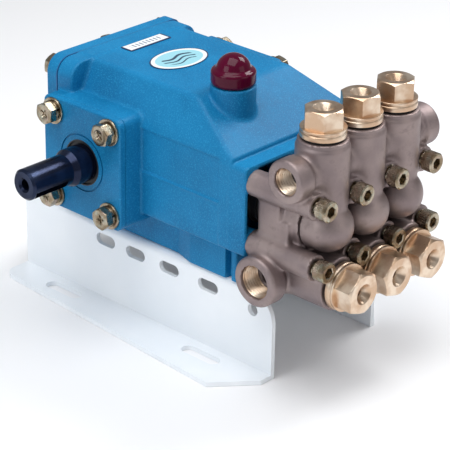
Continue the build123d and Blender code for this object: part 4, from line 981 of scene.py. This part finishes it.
def valve_plug(ring_r, flats, hex_height, gap=1.5, ring=5.7, recess=6.5, hole=3.2):
    """A plug that seats on z = 0: its hexagon, ring and groove, and its screwed shank."""
    top = gap + ring
    head = top + hex_height
    drilled = [(0, head - 13.5), (hole, head - 12), (hole, head - 5.2)]
    inner = drilled + [(recess - 0.5, head - 0.5), (recess, head)]
    rim = flats / 2 - 0.4
    across = [(rim - 1.2, head), (rim, head)]
    corner_r = flats / 2 / cos(pi / 6)
    slant = [(corner_r - rim) * t for t in (0.15, 0.3, 0.45, 0.6, 0.75, 0.9, 1)]
    ladder = [(rim + out, head - out * 0.62) for out in slant]
    side = [(corner_r, head - 2.2 - k * (hex_height - 3.4) / 4) for k in range(5)]
    foot = [(corner_r, top + 0.5), (corner_r - 0.2, top)]
    groove = [(ring_r, top - 1.4), (ring_r - 0.5, top - 1.8), (ring_r - 0.5, top - 2.5)]
    below = [(ring_r, top - 2.9), (ring_r, gap), (PLUG_R, gap), (PLUG_R, 0.0)]
    step = rounded([(corner_r - 0.2, top), (ring_r, top), *groove, *below], 0.4)
    core = [(PLUG_R - 0.1, -PLUG_DEEP), (0, -PLUG_DEEP)]
    rows = inner + across + ladder + side + foot + step[1:] + core
    count = len(inner) + len(across)
    bent = slice(count, count + len(ladder) + len(side) + len(foot))

    def reach(angle, rho):
        flat = (angle + pi / 6) % (pi / 3) - pi / 6
        limit = flats / 2 / np.cos(flat) * np.ones_like(rho)
        out = rho.copy()
        out[bent] = np.minimum(rho[bent], limit[bent])
        return out

    return lathe(rows, 144, reach), thread(PLUG_R, PLUG_DEEP, 1.5, 0.6, 48)


for name, node, toward, ring_r, flats, height in (
    ("discharge_valve_plugs", "discharge_plugs", "up", 13.85, 22.0, 11.5),
    ("inlet_valve_plugs", "inlet_plugs", "front", 15.0, 24.0, 12.0),
):
    if toward == "up":
        places = [(x, discharge_y, boss_top) for x in bays]
    else:
        places = [(x, inlet_front, inlet_z) for x in bays]
    plug_part = merge_arrays(valve_plug(ring_r, flats, height))
    set_out = stand(plug_part, toward, places, [radians(12), radians(16), radians(7)])
    piece(name, *set_out, "plug_bronze", node, sharp=24)

# %% [markdown]
# ## The oil filler cap
# Moulded in glossy dark red: a round collar that seats on the filler boss and a ball-shaped top
# that is gripped to turn it. The two are one moulding, so they flow together.

# %% Filler cap
cap_low, cap_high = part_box("oil_filler_cap")
cap_x, cap_y = (cap_low[0] + cap_high[0]) / 2 / MM, (cap_low[1] + cap_high[1]) / 2 / MM
cap_top, cap_seat = cap_high[2] / MM, NECK_TOP_Z + 0.3
ball_r, collar_r, collar_top = 10.9, 13.8, NECK_TOP_Z + 10.1


def cap_field(x, y, z):
    x, y = x - cap_x, y - cap_y
    rho = np.hypot(x, y)
    collar = both(rho - collar_r, slab(z, cap_seat, collar_top), 2.4)
    ball = np.sqrt(rho**2 + np.maximum(z - cap_top + ball_r, 0) ** 2) - ball_r
    ball = both(ball, cap_seat + 2 - z)
    cap = either(collar, ball, 1.6)
    neck = both(rho - 8.9, slab(z, cap_low[2] / MM, cap_seat + 3), 0.6)
    return either(cap, neck)


low = [v / MM for v in cap_low]
high = [v / MM for v in cap_high]
moulding = surface_of(cap_field, low, high, 0.55)
piece("filler_cap", *moulding, "red_cap", "oil_filler_cap", "oil_cap", sharp=60)

# %% [markdown]
# ## Pipe threads in the ports
# A tap leaves a helical ridge. Each port gets a thin lining whose rows run along the bore and
# whose crests climb one pitch a turn, with a cone at the mouth.

# %% Threads in the four ports


def port_thread(radius, depth, pitch=1.9, tall=1.15, columns=72):
    """A lining from the mouth at z = 0 down to -depth, thinner than its ridges are tall."""
    rows = int(depth / pitch * 8)
    turn, row = np.meshgrid(np.arange(columns) / columns, np.arange(rows + 1), indexing="xy")
    height = -row * depth / rows
    ridge = np.abs(2 * ((height / pitch + turn) % 1) - 1)
    mouth = np.clip((height + 2.0) / 2.0, 0, 1)
    inner = radius - tall * ridge * (1 - mouth) + 0.15
    inner = np.where(row == rows, radius + 0.3, inner)
    outer = np.full((1, columns), radius + 0.3)
    radii = np.vstack([outer, inner])
    heights = np.vstack([height[:1], height])
    turns = np.vstack([turn[:1], turn]) * tau
    points = np.stack([radii * np.cos(turns), radii * np.sin(turns), heights], -1)
    return points.reshape(-1, 3), grid_quads(rows + 2, columns)


sets = []
for radius, y, z in ((8.3, gallery_y, gallery_z), (10.5, intake_y, intake_z)):
    lining = port_thread(radius, 13.5)
    sets.append(stand(lining, "left", [(-port_x + 0.6, y, z)]))
    sets.append(stand(lining, "right", [(port_x - 0.6, y, z)]))
piece("port_threads", *merge_arrays(sets), "plug_bronze")

# %% [markdown]
# ## The stage
# A plain pale floor, a broad soft light above, a large window-like light on the left, a weak fill
# in front and a small bright one high on the right, which draws the streak on the shaft. The
# camera stands where the view shows the shaft side and the valve block.

# %% Floor, lights and camera


def area_light(name, place, aim, size, power, colour=(1, 1, 1)):
    """A square area light in metres and watts that faces a point."""
    lamp = bpy.data.lights.new(name, "AREA")
    lamp.size, lamp.energy, lamp.color = size, power, colour
    made = bpy.data.objects.new(name, lamp)
    made.location = place
    made.rotation_euler = (Vector(aim) - Vector(place)).to_track_quat("-Z", "Y").to_euler()
    bpy.context.scene.collection.objects.link(made)
    return made


floor_mesh = bpy.data.meshes.new("floor")
corners = [(-4, -4, 0), (4, -4, 0), (4, 4, 0), (-4, 4, 0)]
floor_mesh.from_pydata(corners, [], [(0, 1, 2, 3)])
floor = bpy.data.objects.new("floor", floor_mesh)
floor.location.z = -0.0002
bpy.context.scene.collection.objects.link(floor)
floor_finish = Finish("pale_floor", (0.94, 0.94, 0.95), 0.6)
floor_mesh.materials.append(floor_finish.mat)
floor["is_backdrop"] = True

middle_of_pump = (0, -0.02, 0.09)
area_light("top_softbox", (-0.25, -0.1, 1.1), middle_of_pump, 0.9, 9)
area_light("left_window", (-1.2, 0.15, 0.65), middle_of_pump, 0.7, 4.5, (0.93, 0.97, 1.0))
area_light("front_fill", (0.25, -1.3, 0.55), middle_of_pump, 0.8, 2.0, (1.0, 0.97, 0.93))
area_light("right_rim", (0.8, -0.2, 0.97), middle_of_pump, 0.5, 7)
world = bpy.data.worlds.new("studio")
bpy.context.scene.world = world
world.use_nodes = True
world.node_tree.nodes["Background"].inputs[0].default_value = (0.93, 0.96, 1.0, 1)
world.node_tree.nodes["Background"].inputs[1].default_value = 0.30

azimuth, elevation, roll = radians(47.2208), radians(25.6517), radians(0.9377)
forward = Vector((sin(azimuth) * cos(elevation), cos(azimuth) * cos(elevation), -sin(elevation)))
level_right = Vector((cos(azimuth), -sin(azimuth), 0))
level_up = level_right.cross(forward)
right = level_right * cos(roll) + level_up * sin(roll)
up = level_up * cos(roll) - level_right * sin(roll)
lens = bpy.data.cameras.new("camera")
lens.lens, lens.sensor_width = 165.18, 36
lens.clip_start, lens.clip_end = 0.05, 20
camera = bpy.data.objects.new("camera", lens)
turn = Matrix((right, up, -forward)).transposed()
camera.matrix_world = Matrix.Translation((-0.87080, -0.83061, 0.62865)) @ turn.to_4x4()
bpy.context.scene.collection.objects.link(camera)
bpy.context.scene.camera = camera
bpy.context.scene.view_settings.view_transform = "Standard"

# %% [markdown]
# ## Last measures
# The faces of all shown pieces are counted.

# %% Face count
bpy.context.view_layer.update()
faces = sum(len(p.data.polygons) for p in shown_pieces() if p.type == "MESH")
print("faces in all:", faces)
